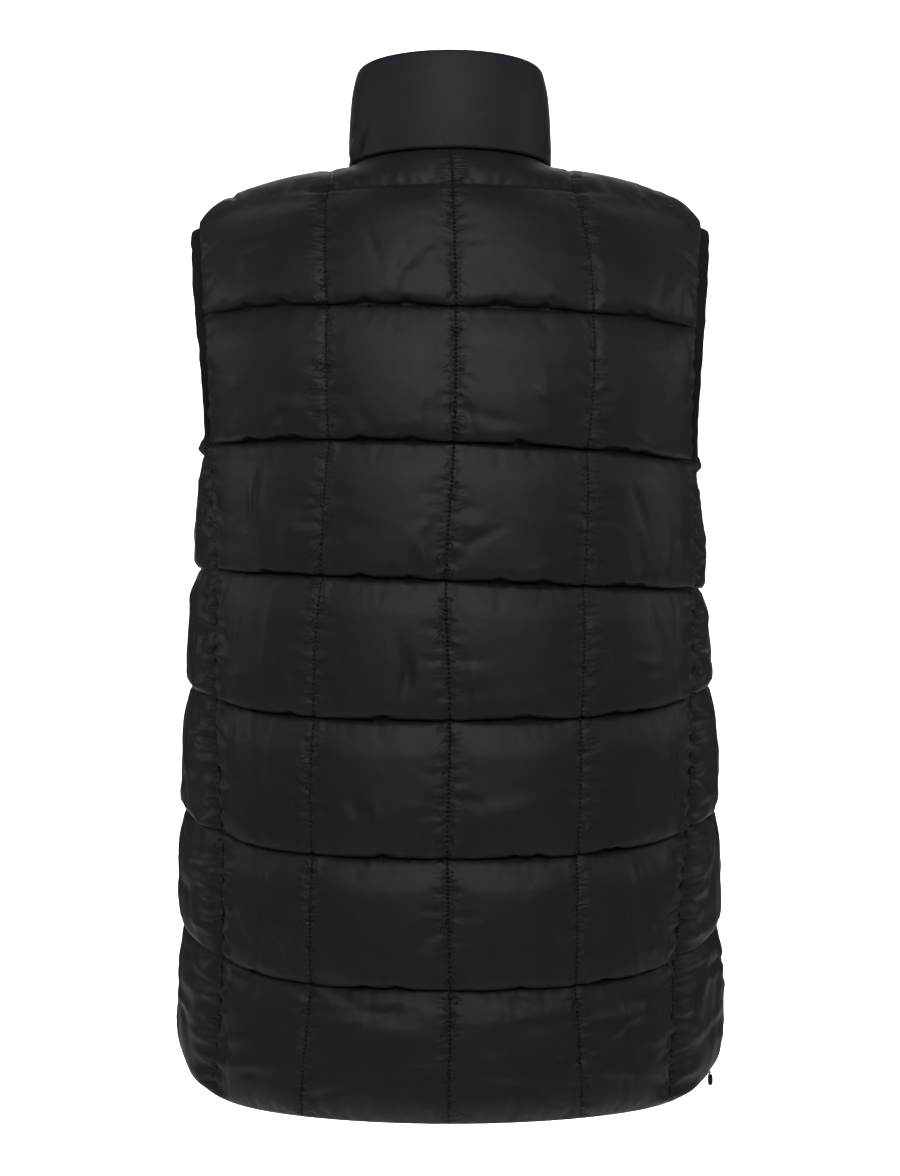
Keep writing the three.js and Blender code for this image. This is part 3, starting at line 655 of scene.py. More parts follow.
TOP_FADE = 0.3                # squares over which they take over from the yoke strip
FRAMES = 20                   # steps of the cloth simulation
UNEVEN = 0.12                 # spread of the puffs' heights at the start
SEAM_REACH = 0.5              # squares from a side seam in which cloth is gathered
LOOSE = 0.5                   # most that one square may be looser than another
NEAR = 1e-6


def puff_shape(columns, rows, panel, base):
    """Heights that the puffs start from, and their share left round at the sides."""
    number = panel["columns"]
    column = np.minimum(columns.astype(int), number - 1)
    share = np.array([SEAM_PUFF if k in (0, number) else UPRIGHT_PUFF for k in range(number + 1)])
    along = columns - column
    edge = lerp(share[column], share[column + 1], along)
    full = lerp(edge, 1, np.sqrt(np.clip(4 * along * (1 - along), 0, 1)))
    level = np.minimum(rows.astype(int), len(LINES) - 1)
    up = np.clip(rows - level, 0, 1) ** (1 / DROOP)
    puff = np.array([LINES[k]["puff"] for k in level]) * MM
    lift = np.sqrt(np.clip(4 * up * (1 - up), 0, 1))
    lift = np.where((level == 0) & (up < 0.5), lift ** HEM_EASE, lift)
    x, y = base[..., 0], base[..., 1]
    sideways = np.abs(x) / np.hypot(x, y * SIDE_RATIO)
    slack = lerp(1, SIDE_PUFF, sideways ** SIDE_LATE)
    plain = (puff * lift)[None, :]
    most = puff[None, :]
    if panel["yoke"]:
        outer = outer_share(columns)[:, None] * (rows > TOP_ROUND)
        plain = lerp(plain, rounded_top(rows)[None, :], outer)
        most = lerp(most, rounded_top(rows)[None, :] + 1 * MM, outer)
    heights = full[:, None] * plain * slack
    hang = SAG * lift * (1 - np.clip(rows - level, 0, 1)) ** SAG_LOW * puff / (13 * MM) * (level > 0)
    return heights, slack * most, full[:, None] * hang[None, :] * slack


def outer_share(columns):
    """1 over the shoulders, where the top stitch line runs out, and 0 between them."""
    return np.clip((abs(columns - BACK_COLUMNS / 2) - 1) / TOP_FADE, 0, 1)


def rounded_top(rows):
    """Height of the cloth over the shoulders, from the middle of the top row to the seam."""
    down = np.clip((rows - TOP_ROUND) / (BACK_FULL + 1 - TOP_ROUND), 0, 1)
    return LINES[BACK_FULL - 1]["puff"] * MM * (1 - down ** TOP_FALL)


def calm_share(rows):
    """How far the simulated scallops are smoothed away under each stitched row."""
    up = rows - np.minimum(rows.astype(int), len(LINES) - 1)
    return CALM * np.clip((up - CALM_FROM) / CALM_FADE, 0, 1)


# Light cloth filled by pressure, which has 3% to spare, and up to 14% where it is gathered
CLOTH = dict(quality=5, mass=0.3, use_pressure=True, uniform_pressure_force=200,
             bending_stiffness=0.5, shrink_min=-0.03, shrink_max=-0.14)
GRAVITY = 0.3


def simulate(panel, points, kept, pinned, gathered):
    """Inflates the cloth between its stitch lines, with cloth to spare, and reads it back."""
    used = np.zeros(points.shape[:2], dtype=bool)
    for i in (0, 1):
        for j in (0, 1):
            used[i:i + kept.shape[0], j:j + kept.shape[1]] |= kept
    index = np.full(used.shape, -1)
    index[used] = np.arange(used.sum())
    mesh = bpy.data.meshes.new("cloth")
    mesh.from_pydata([tuple(point) for point in points[used]], [], grid_faces(index, kept).tolist())
    if mesh.polygons[0].normal.dot(Vector(panel["out"])) < 0:
        mesh.flip_normals()
    cloth = placed("cloth", mesh)
    pins = cloth.vertex_groups.new(name="stitched")
    pins.add(index[pinned & used].tolist(), 1.0, "REPLACE")
    spare = cloth.vertex_groups.new(name="gathered")
    for number, weight in zip(index[used].tolist(), gathered[used].tolist()):
        if weight > 0:
            spare.add([number], weight, "REPLACE")
    modifier = cloth.modifiers.new("Cloth", "CLOTH")
    settings = modifier.settings
    settings.vertex_group_mass = "stitched"
    settings.vertex_group_shrink = "gathered"
    for key, value in CLOTH.items():
        setattr(settings, key, value)
    settings.effector_weights.gravity = GRAVITY
    modifier.collision_settings.use_collision = False
    scene = bpy.context.scene
    for number in range(1, FRAMES + 1):
        scene.frame_set(number)
    graph = bpy.context.evaluated_depsgraph_get()
    done = bpy.data.meshes.new_from_object(cloth.evaluated_get(graph))
    places = np.empty(len(done.vertices) * 3)
    done.vertices.foreach_get("co", places)
    result = points.copy()
    result[used] = places.reshape(-1, 3)
    scene.frame_set(1)
    bpy.data.objects.remove(cloth)
    bpy.data.meshes.remove(done)
    return result


# Small creases: squares between them along a stitch line, how far each may stray, its spread in
# height (mm) and in slant (radians)
PUCKERS = dict(upright=(0.085, 0.085, 0.55, 0.9), row=(0.11, 0.075, 0.3, 0.4))


def pucker_heights(heights, x, y, widths, panel, draw):
    """Small creases that run off the stitch lines, each a short ridge or trough."""
    top = BACK_FULL + panel["yoke"]
    places = []
    for kind, lines, end in (("upright", panel["columns"], top), ("row", top, panel["columns"])):
        step, stray = PUCKERS[kind][:2]
        for line in range(lines + 1):
            for start in np.arange(0, end, step):
                for side in (-1, 1):
                    places.append((line, start + draw.uniform(0, stray), side, kind))
    for line, on, side, kind in places:
        length = draw.uniform(5, 14) * MM
        thick = draw.uniform(1.1, 2.2) * MM
        height = draw.normal(0, PUCKERS[kind][2]) * MM
        slant = draw.uniform(-PUCKERS[kind][3], PUCKERS[kind][3])
        order = 1 if kind == "upright" else -1
        along = np.array([side * math.cos(slant), math.sin(slant)])[::order]
        middle = np.array([line, on])[::order] * widths + along * length * 0.45
        add_ridge(heights, x, y, middle, along, length * 0.4, thick, height)


def add_ridge(heights, x, y, middle, along, length, thick, height):
    """Adds one soft ridge or trough, so long and thick each way from its middle."""
    reach = 2 * max(length, thick)
    i = slice(np.searchsorted(x, middle[0] - reach), np.searchsorted(x, middle[0] + reach))
    j = slice(np.searchsorted(y, middle[1] - reach), np.searchsorted(y, middle[1] + reach))
    dx = x[i][:, None] - middle[0]
    dy = y[j][None, :] - middle[1]
    on = dx * along[0] + dy * along[1]
    off = dx * -along[1] + dy * along[0]
    heights[i, j] += height * np.exp(-(on / length) ** 2 - (off / thick) ** 2)


def gather_heights(heights, x, y, widths, panel, draw):
    """Lobes of cloth gathered into the side seams and armholes, which run out level from them."""
    for seam, top, strength in [(seam, UNDERARM, 1.0) for seam in panel["seams"]] + panel["armholes"]:
        inward = 1 if seam == 0 else -1
        up = 0.004
        while up < top * widths[1]:
            length = draw.uniform(8, 22) * MM
            slant = draw.uniform(-0.7, 0.3)
            along = np.array([inward * math.cos(slant), math.sin(slant)])
            middle = np.array([seam * widths[0], up]) + along * (length * 0.5 + 1.5 * MM)
            height = draw.uniform(1.8, 3.8) * MM * strength
            add_ridge(heights, x, y, middle, along, length * 0.55, draw.uniform(2.8, 4.4) * MM, height)
            up += draw.uniform(9, 15) * MM


# Longer soft folds (squares across and up in a square, mm, and radians of spread)
FOLDS = {row.pop("kind"): row for row in table(
    "kind across up slant height length thick",
    ("side", (0.12, 0.7), (0.2, 0.8), 0.14, (0.7, 1.7), (14, 38), (2.4, 4.2)),
    ("hem", (0.05, 0.95), (0.15, 0.9), 0.2, (0.8, 1.9), (10, 30), (2.6, 5.5)),
    ("square", (0.1, 0.9), (0.08, 0.42), 0.6, (0.6, 1.5), (8, 20), (3, 6.5)),
)}
HEM_FOLDS = 9
SQUARE_FOLDS = 5


def fold_heights(heights, x, y, widths, panel, draw):
    """Upright folds where the sides hang slack, level ones in the hem row, and some in each square."""
    def add_fold(kind, column, row, way=1):
        fold = FOLDS[kind]
        place = np.array([column + way * draw.uniform(*fold["across"]), row + draw.uniform(*fold["up"])])
        slant = draw.normal(way * 0.15 if kind == "side" else 0, fold["slant"])
        if kind == "square":
            slant -= 0.5 * math.pi * draw.integers(0, 2)
        along = np.array([math.cos(slant), math.sin(slant)])
        if kind == "side":
            along = along[::-1]
        height = draw.choice([-1, 1]) * draw.uniform(*fold["height"]) * MM
        length = draw.uniform(*fold["length"]) * MM
        add_ridge(heights, x, y, place * widths, along, length, draw.uniform(*fold["thick"]) * MM, height)

    for seam in panel["seams"]:
        for row in range(UNDERARM):
            for _ in range(panel["side_folds"]):
                add_fold("side", seam, row, 1 if seam == 0 else -1)
    for column in range(panel["columns"]):
        for _ in range(HEM_FOLDS):
            add_fold("hem", column, 0)
        for row in range(1, BACK_FULL):
            for _ in range(SQUARE_FOLDS):
                add_fold("square", column, row)


def crease_heights(panel, columns, rows):
    """Heights of all the creases over a panel's fine grid, faded out at its edges."""
    widths = np.array(panel["square"])
    made = []
    for number, make in enumerate((pucker_heights, gather_heights, fold_heights)):
        heights = np.zeros((len(columns), len(rows)))
        draw = np.random.default_rng(panel["seed"] + 1 + number)
        make(heights, columns * widths[0], rows * widths[1], widths, panel, draw)
        made.append(heights)
    puckers, gathers, folds = made
    rim_fade = np.clip(np.minimum(rows, rows[-1] - rows) / 0.06, 0, 1)[None, :]
    side_fade = np.clip(np.minimum(columns, columns[-1] - columns) / 0.04, 0, 1)[:, None]
    return (puckers + folds) * rim_fade * side_fade + gathers * rim_fade


STITCH_WANDER = 0.075         # of the pitch


def stitch_run(points, normals, pitch, seed):
    """Places, directions and normals of stitches along a line of points."""
    length = so_far(points)
    draw = np.random.default_rng(seed)
    at = np.arange(pitch / 2, length[-1], pitch)
    at = at + draw.uniform(-STITCH_WANDER, STITCH_WANDER, len(at)) * pitch
    spots = read_at(at, length, points)
    ahead = read_at(at + pitch / 3, length, points)
    return spots, unit(ahead - spots + 1e-9), unit(read_at(at, length, normals))


QUILT_PITCH = 3.1 * MM
STITCH_SIDES = 5
STITCH_SHAPE = ((-0.5, 0.45, -0.6), (-0.25, 0.95, 0.1), (0.25, 0.95, 0.1), (0.5, 0.45, -0.6))


def stitches(name, runs, length, radius):
    """One mesh of sewing stitches, each a short rounded bit of thread that dips at its ends."""
    spots, ways, ups = (np.concatenate([run[k] for run in runs]) for k in range(3))
    sides = unit(np.cross(ways, ups))
    ups = np.cross(sides, ways)
    rings = []
    for along, thick, rise in STITCH_SHAPE:
        for k in range(STITCH_SIDES):
            turn = 2 * math.pi * k / STITCH_SIDES
            rings.append(spots + ways * along * length + ups * (rise + math.cos(turn) * thick) * radius
                         + sides * math.sin(turn) * thick * radius)
    each = len(rings)
    points = np.stack(rings, axis=1).reshape(-1, 3)
    pattern = ring_quads(len(STITCH_SHAPE), STITCH_SIDES)
    faces = [tuple(corner + each * n for corner in quad) for n in range(len(spots)) for quad in pattern]
    uvs = np.tile(np.linspace(0, length, each), len(spots))
    return make_object(name, points, faces, THREAD,
                       {"cloth": np.stack([uvs, uvs], axis=1)})


def make_panel(panel):
    """A quilted panel: puffed cloth outside, a plain wall inside and turned edges."""
    columns = np.linspace(0, panel["columns"], panel["columns"] * SQUARE + 1)
    rows = np.linspace(0, BACK_FULL, BACK_FULL * SQUARE + 1)
    if panel["yoke"]:
        rows = np.concatenate([rows, BACK_FULL + np.linspace(0, 1, YOKE + 1)[1:]])
    base = np.array([panel["curve"](across, rows) for across in columns]) * MM
    normals = outward_normals(base, panel["out"])
    middles = (columns[:-1] + columns[1:]) / 2, (rows[:-1] + rows[1:]) / 2
    kept = (middles[0][:, None] < panel["tall"]) | (middles[1][None, :] < UNDERARM)
    draw = np.random.default_rng(panel["seed"])
    heights, limit, hang = puff_shape(columns, rows, panel, base)
    rough = draw.normal(0, 1, heights.shape)
    for axis in (0, 1):
        rough = (np.roll(rough, 1, axis) + rough + np.roll(rough, -1, axis)) / 3
    start = base + normals * (heights * (1 + UNEVEN * rough) + STITCH_LIFT)[..., None]
    start[..., 2] -= hang
    on_row = np.isclose(rows % 1, 0) | np.isclose(rows, rows[-1])
    on_upright = np.isclose(columns % 1, 0)
    pinned = on_row[None, :] | on_upright[:, None]
    pinned |= (columns[:, None] > panel["tall"] - NEAR) & (rows[None, :] > UNDERARM - NEAR)
    sewn_down = base + normals * (heights + STITCH_LIFT)[..., None]
    sewn_down[..., 2] -= hang
    start[pinned] = sewn_down[pinned]
    from_seam = np.min([abs(columns - seam) for seam in panel["seams"]], axis=0)
    seam = np.clip(1 - from_seam / SEAM_REACH, 0, 1)[:, None]
    loose = LOOSE * draw.uniform(0, 1, (panel["columns"] + 1, int(rows[-1]) + 2))
    column = np.minimum(columns.astype(int), panel["columns"] - 1)
    cell = loose[column[:, None], rows.astype(int)[None, :]]
    gathered = np.clip(seam + cell * 0.5, 0, 1)
    sewn = simulate(panel, start, kept, pinned, gathered)
    offset = lerp(sewn - base, sewn_down - base, calm_share(rows)[None, :, None])
    rise = (offset * normals).sum(axis=-1, keepdims=True)
    most = PUFF_LIMIT * limit[..., None] + STITCH_LIFT
    offset += normals * (np.maximum(most * np.tanh(rise / most), STITCH_LIFT) - rise)
    return finish_panel(panel, columns, rows, base, base + offset, kept)


def refine_up(grid, yoke):
    """Refines a grid upward, over the squares and then over the yoke strip."""
    split = BACK_FULL * SQUARE
    parts = [refine(grid[:, :split + 1], FINER, SQUARE, 1)]
    if yoke:
        parts.append(refine(grid[:, split:], FINER, YOKE, 1)[:, 1:])
    return np.concatenate(parts, axis=1)


def finish_panel(panel, columns, rows, base, cloth, kept):
    """Refines the simulated cloth, adds its puckers, and closes it over the plain wall."""
    yoke = panel["yoke"]
    base, cloth = (refine(refine_up(grid, yoke), FINER, SQUARE, 0) for grid in (base, cloth))
    rows = refine_up(rows[None, :, None], yoke)[0, :, 0]
    columns = refine(columns, FINER, SQUARE, 0)
    kept = np.repeat(np.repeat(kept, FINER, axis=0), FINER, axis=1)
    normals = outward_normals(base, panel["out"])
    above = ((cloth - base) * normals).sum(axis=-1)
    heights = np.maximum(crease_heights(panel, columns, rows), -0.6 * above)
    cloth = cloth + normals * heights[..., None]
    inner = base - normals * WALL * MM
    made = wall_object(panel, columns, rows, cloth, inner, kept)
    runs = []
    line_rows = [nearest(rows, level) for level in range(1, int(rows[-1]))]
    last = kept.shape[1]
    for number, upright in enumerate(range(1, panel["columns"])):
        i = nearest(columns, upright)
        top = last if upright <= panel["tall"] else nearest(rows, UNDERARM)
        line = cloth[i, :top + 1]
        runs.append(stitch_run(line, normals[i, :top + 1], QUILT_PITCH, panel["seed"] + 10 + number))
    for number, j in enumerate(line_rows):
        across = slice(0, nearest(columns, panel["tall"]) + 1)
        if rows[j] <= UNDERARM + NEAR:
            across = slice(0, len(columns))
        if rows[j] > BACK_FULL - 0.5:
            across = slice(nearest(columns, 1), nearest(columns, BACK_COLUMNS - 1))
        seed = panel["seed"] + 40 + number
        runs.append(stitch_run(cloth[across, j], normals[across, j], QUILT_PITCH, seed))
    stitches(panel["name"] + "_stitches", runs, 2.3 * MM, 0.28 * MM)
    return dict(object=made, columns=columns, rows=rows, base=base, normals=normals)


COARSE = 4                    # outer steps for each step of the inner wall


def wall_object(panel, columns, rows, outer, inner, kept):
    """Joins the outer cloth to the inner wall with rounded edges all round."""
    shape = outer.shape[:2]
    index = np.arange(outer[..., 0].size).reshape(shape)
    under = index + index.size
    points = np.concatenate([outer.reshape(-1, 3), inner.reshape(-1, 3)])
    faces = grid_faces(index, kept).tolist()
    inside = under[::COARSE, ::COARSE]
    thin = kept[::COARSE, ::COARSE][:inside.shape[0] - 1, :inside.shape[1] - 1]
    faces += grid_faces(inside, thin)[:, ::-1].tolist()
    edges = []
    padded = np.pad(kept, 1)
    for i, j in np.argwhere(kept):
        a, b, c, d = index[i, j], index[i + 1, j], index[i + 1, j + 1], index[i, j + 1]
        around = ((padded[i + 1, j], a, b), (padded[i + 2, j + 1], b, c),
                  (padded[i + 1, j + 2], c, d), (padded[i, j + 1], d, a))
        edges += [(first, second) for filled, first, second in around if not filled]
    extra = {}
    rounded = []
    size = index.size
    for edge in {corner for pair in edges for corner in pair}:
        extra[edge] = 2 * size + len(rounded)
        middle = (points[edge] + points[edge + size]) / 2
        i, j = divmod(int(edge), shape[1])
        inner_i = min(max(i, 1), shape[0] - 2)
        inner_j = min(max(j, 1), shape[1] - 2)
        away = inner[i, j] - inner[inner_i, inner_j]
        if np.linalg.norm(away) > 0:
            middle = middle + away / np.linalg.norm(away) * 0.8 * MM
        rounded.append(middle)
    points = np.concatenate([points, np.array(rounded)])
    for first, second in edges:
        faces.append((second, first, extra[first], extra[second]))
        faces.append((extra[second], extra[first], first + size, second + size))
    wide, tall = panel["square"]
    flat = np.stack(np.broadcast_arrays(columns[:, None] * wide, rows[None, :] * tall), axis=-1)
    flat = flat.reshape(-1, 2)
    uvs = np.concatenate([flat, flat, flat[list(extra)]])
    squares = uvs / np.array([wide, tall])
    used, order = np.unique(np.concatenate([np.ravel(face) for face in faces]), return_inverse=True)
    places = np.split(order, np.cumsum([len(face) for face in faces])[:-1])
    made = make_object(panel["name"] + "_quilted", points[used], [face.tolist() for face in places],
                       QUILT, {"cloth": uvs[used], "squares": squares[used]})
    face_outward(made)
    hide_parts(panel["name"])
    return made


# Columns, how many of them reach the shoulder, the way out, a square's size (metres), the side
# seams, folds beside each in a square, and gathers at the armholes: column, top, strength
BACK = dict(name="back_panel", columns=BACK_COLUMNS, yoke=True, tall=4, out=(0, 1, 0), curve=back_curve,
            seed=11, square=(0.115, 0.1), seams=(0, BACK_COLUMNS), side_folds=4,
            armholes=[(0, 7, 0.8), (BACK_COLUMNS, 7, 0.8)])
FRONT = dict(columns=FRONT_COLUMNS, yoke=False, tall=2, out=(0, -1, 0), square=(0.09, 0.1),
             seams=(FRONT_COLUMNS,), side_folds=12, armholes=[(0, 7, 0.3)])
PANELS = [BACK, dict(FRONT, name="front_left", curve=front_curve(1), seed=21),
          dict(FRONT, name="front_right", curve=front_curve(-1), seed=31)]
panels = {panel["name"]: make_panel(panel) for panel in PANELS}


# Collar, armhole bands and zip

COLLAR_PROFILE = table(
    "out up lean bulge",
    (0.5, 0, 0, 0),
    (0.5, 0.3, 0.2, 0.8),
    (0.5, 0.7, 0.6, 1),
    (0.45, 0.93, 0.95, 0.3),
    (0.25, 0.99, 1, 0),
    (0, 1, 1, 0),
    (-0.25, 0.99, 1, 0),
    (-0.45, 0.93, 0.95, 0),
    (-0.5, 0.5, 0.4, 0),
    (-0.5, 0, 0, 0),
)
COLLAR_SECTIONS = 300
COLLAR_ROUND = 11             # points between two of the profile's

# Creases in the collar, given one by one: angle round from the centre back and height up
# (degrees, mm), slope from level, length, width and depth (degrees, mm).
COLLAR_CREASES = table(
    "turn up slope length width depth",
    (60, 8, -60, 30, 5.0, 6.4),
    (70, 10, -50, 20, 6.0, -2.0),
    (86, 6, 24, 26, 3.2, 1.5),
    (50, 5, 12, 16, 3.0, 0.9),
    (4, 4, 70, 9, 1.6, 0.7),
    (60, 24, -12, 34, 7, 0.7),
    (25, 52, 8, 48, 10, -0.6),
    (-18, 30, -20, 30, 6, 0.5),
    (-48, 47, 14, 38, 8, -0.6),
    (-74, 9, -26, 22, 3, 1.1),
    (-83, 33, 60, 26, 6, 0.7),
    (38, 9, 48, 14, 3, 0.6),
    (-31, 8, -52, 12, 2.6, 0.5),
    (112, 28, 35, 40, 7, 0.9),
    (127, 12, -30, 24, 4, 0.9),
    (151, 44, 12, 42, 9, -0.7),
    (-109, 36, -30, 36, 6, 0.9),
    (-133, 14, 28, 26, 4, 0.8),
    (-156, 55, -14, 38, 8, -0.6),
)


def loft(name, sections, closed, look):
    """A tube through closed sections, capped at its ends unless it runs round."""
    count, sides = sections.shape[:2]
    index = np.arange(count * sides).reshape(count, sides)
    around = np.concatenate([index, index[:, :1]], axis=1)
    if closed:
        around = np.concatenate([around, around[:1]])
    faces = grid_faces(around, np.ones((around.shape[0] - 1, sides), dtype=bool)).tolist()
    if not closed:
        faces += [index[0].tolist(), index[-1][::-1].tolist()]
    along, across = so_far(sections.mean(axis=1)), so_far(sections[0])
    flat = np.stack(np.broadcast_arrays(across[None, :], along[:, None]), axis=-1)
    made = make_object(name, sections.reshape(-1, 3), faces, look, {"cloth": flat.reshape(-1, 2)})
    face_outward(made)
    return made


def neck_out(angle):
    out = neck_point(angle) - np.array([0, NECK["side"], 0])
    out[2] = 0
    return unit(out)


def make_collar():
    profile = np.array([list(row.values()) for row in COLLAR_PROFILE])
    fine = refine(profile, COLLAR_ROUND, len(profile) - 1, 0)
    outside = np.clip((fine[:, 0] - 0.2) / 0.3, 0, 1)
    sections = []
    for angle in np.linspace(-ZIP_NECK_ANGLE, ZIP_NECK_ANGLE, COLLAR_SECTIONS):
        forward = max(-math.cos(math.radians(angle)), 0)
        height = COLLAR["height"] + COLLAR["extra"] * forward ** NECK["late"]
        middle, out = neck_point(angle), neck_out(angle)
        ups = fine[:, 1] * height
        shift = fine[:, 0] * COLLAR["thick"] - fine[:, 2] * COLLAR["lean"] + fine[:, 3] * COLLAR["bulge"]
        for crease in COLLAR_CREASES:
            slope = math.radians(crease["slope"])
            dx = math.radians(angle - crease["turn"]) * NECK["half"]
            dy = ups - crease["up"]
            on = dx * math.cos(slope) + dy * math.sin(slope)
            off = dy * math.cos(slope) - dx * math.sin(slope)
            reach = np.exp(-(on / crease["length"] * 2) ** 2 - (off / crease["width"] * 2) ** 2)
            shift = shift - crease["depth"] * reach * outside
        points = middle + out * shift[:, None]
        if abs(angle) > 90:
            edge = ZIP_EDGE * np.sign(angle)
            points[:, 0] = np.where(abs(points[:, 0]) < ZIP_EDGE, edge, points[:, 0])
        points[:, 2] = middle[2] + COLLAR["gap"] + ups
        sections.append(points * MM)
    collar = loft("collar_cloth", np.array(sections), False, COLLAR_CLOTH)
    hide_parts("collar")


def resample(points, spacing, closed):
    """Even steps along a line of points, with what goes with each point in its row."""
    if closed:
        points = np.concatenate([points, points[:1]])
    length = so_far(points[:, :3])
    count = int(round(length[-1] / spacing))
    even = read_at(np.linspace(0, length[-1], count + 1), length, points)
    return even[:-1] if closed else even


def smooth_closed(values, times):
    for _ in range(times):
        values = (np.roll(values, 1, axis=0) + 2 * values + np.roll(values, -1, axis=0)) / 4
    return values


def armhole_path(back, front, side):
    """Edge of the quilting round an armhole, with its normals."""
    rim = -1 if side > 0 else 0
    start = nearest(back["rows"], UNDERARM)
    up = np.concatenate([back["base"][rim, start:-1], back["normals"][rim, start:-1]], axis=1)
    column = nearest(front["columns"], 2)
    row = nearest(front["rows"], UNDERARM)
    down = np.concatenate([front["base"][column, row:], front["normals"][column, row:]], axis=1)[::-1]
    under = np.concatenate([front["base"][column + 1:, row], front["normals"][column + 1:, row]], axis=1)
    return np.concatenate([up, down, under])


# Section of an armhole band: share of the width out, and height over the cloth (mm)
BAND_PROFILE = (
    (0.03, -2.5), (0.3, -2.6), (0.7, -2.5), (0.93, -2.2), (1.0, -1.2), (0.97, -0.2),
    (0.85, 0.45), (0.6, 0.75), (0.4, 0.8), (0.3, 0.55), (0.24, 0.3), (0.18, 0.6), (0.03, 0.8),
)


def make_band(name, path, side, seed):
    """Folded elastic binding round an armhole, slightly gathered, with its stitching."""
    path = resample(path, 2.5 * MM, True)
    path = smooth_closed(path, 6)
    points, normals = path[:, :3], unit(path[:, 3:])
    along = unit(np.roll(points, -1, axis=0) - np.roll(points, 1, axis=0))
    inward = unit(np.cross(along, normals))
    centre = points.mean(axis=0)
    if ((centre - points) * inward).sum() < 0:
        inward = -inward
    inward = unit(inward + np.array([side * BAND_FLARE, 0, 0]))
    draw = np.random.default_rng(seed)
    ripple = smooth_closed(draw.normal(0, 1, (len(points), 2)), 3)
    sections = []
    for k in range(len(points)):
        ring = []
        for share, height in BAND_PROFILE:
            out = share * BAND_WIDTH * (1 + 0.05 * ripple[k, 0] * share)
            rise = height + 0.5 * ripple[k, 1] * share
            ring.append(points[k] + (inward[k] * out + normals[k] * rise) * MM)
        sections.append(ring)
    band = loft(name + "_binding", np.array(sections), True, BINDING)
    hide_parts(name)
    line = points + (inward * 0.24 * BAND_WIDTH + normals * 0.42) * MM
    line = np.concatenate([line, line[:1]])
    ups = np.concatenate([normals, normals[:1]])
    stitches(name + "_stitches", [stitch_run(line, ups, 3 * MM, seed + 1)], 2.2 * MM, 0.24 * MM)


CHAIN_TOP = 0.6               # how far the teeth stand out of the tapes
TAPE = 1.2                    # thickness of a tape, and its edges from the middle of the zip
TAPE_IN = 3.15
TAPE_OUT = 8.85
TAPE_SEWN = 6.0               # where the row of stitches sinks into the tape
TOOTH_PITCH = 1.35
TOOTH_SIDES = 6
TOOTH_LOW = -1.6
# Sections of a tooth: place across the zip, half its length along it and share of its depth
TOOTH = ((-0.9, 0.62, 0.75), (0.2, 0.6, 0.8), (1.5, 0.42, 0.6), (2.7, 0.4, 0.5))


def zip_path():
    """Middle of the zip from the hem to near the collar's top, and the way out of it."""
    fronts = [panels[name]["base"][0] for name in ("front_left", "front_right")]
    line = (fronts[0] + fronts[1])[:-1] / 2
    foot = neck_point(ZIP_NECK_ANGLE) * MM
    height = (COLLAR["height"] + COLLAR["extra"]) * MM
    ups = np.linspace(0, ZIP_TOP * MM, 40)
    lean = COLLAR["lean"] * MM * ups / height
    collar = np.stack([ups * 0, foot[1] + lean, foot[2] + ups], axis=1)
    line = np.concatenate([line, collar])
    line[:, 0] = 0
    line = resample(line, TOOTH_PITCH * MM, False)
    along = unit(np.gradient(line, axis=0))
    return line, along, np.stack([along[:, 0], -along[:, 2], along[:, 1]], axis=1)


def make_zip():
    line, along, out = zip_path()
    across = np.array([1.0, 0, 0])
    for name, side in (("zip_tape_left", 1), ("zip_tape_right", -1)):
        ring = [(TAPE_IN, -TAPE), (TAPE_OUT, -TAPE), (TAPE_OUT, -0.1), (TAPE_OUT - 0.4, 0),
                (TAPE_SEWN + 0.3, 0), (TAPE_SEWN, -0.18), (TAPE_SEWN - 0.3, 0),
                (TAPE_IN + 0.9, 0), (TAPE_IN, 0.12)]
        sections = [[line[k] + (across * side * x + out[k] * up) * MM for x, up in ring]
                    for k in range(0, len(line), 2)]
        tape = loft(name + "_woven", np.array(sections), False, TAPE_CLOTH)
        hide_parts(name)
        sewn = line + (across * side * TAPE_SEWN + out * -0.05) * MM
        stitches(name + "_stitches", [stitch_run(sewn, out, 3 * MM, 70 + side)], 2.2 * MM, 0.22 * MM)
    points, faces = [], []
    middle, half = (TOOTH_LOW + CHAIN_TOP) / 2, (CHAIN_TOP - TOOTH_LOW) / 2
    last = (len(TOOTH) - 1) * TOOTH_SIDES
    for k in range(1, len(line) - 1):
        side = 1 if k % 2 else -1
        first = len(points)
        for x, tall, deep in TOOTH:
            for turn in range(TOOTH_SIDES):
                angle = 2 * math.pi * (turn + 0.5) / TOOTH_SIDES
                rise = middle + half * (0.75 + 0.25 * deep) * math.sin(angle)
                place = line[k] + (across * side * (x - 0.2) + out[k] * rise) * MM
                points.append(place + along[k] * tall * math.cos(angle) * MM)
        faces += [tuple(first + corner for corner in quad) for quad in ring_quads(len(TOOTH), TOOTH_SIDES)]
        faces.append(tuple(first + n for n in reversed(range(TOOTH_SIDES))))
        faces.append(tuple(first + last + n for n in range(TOOTH_SIDES)))
    flat = np.array(points)[:, [0, 2]]
    teeth = make_object("zip_chain_teeth", points, faces, TEETH, {"cloth": flat},
                        smooth=False)
    face_outward(teeth)
    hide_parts("zip_chain")


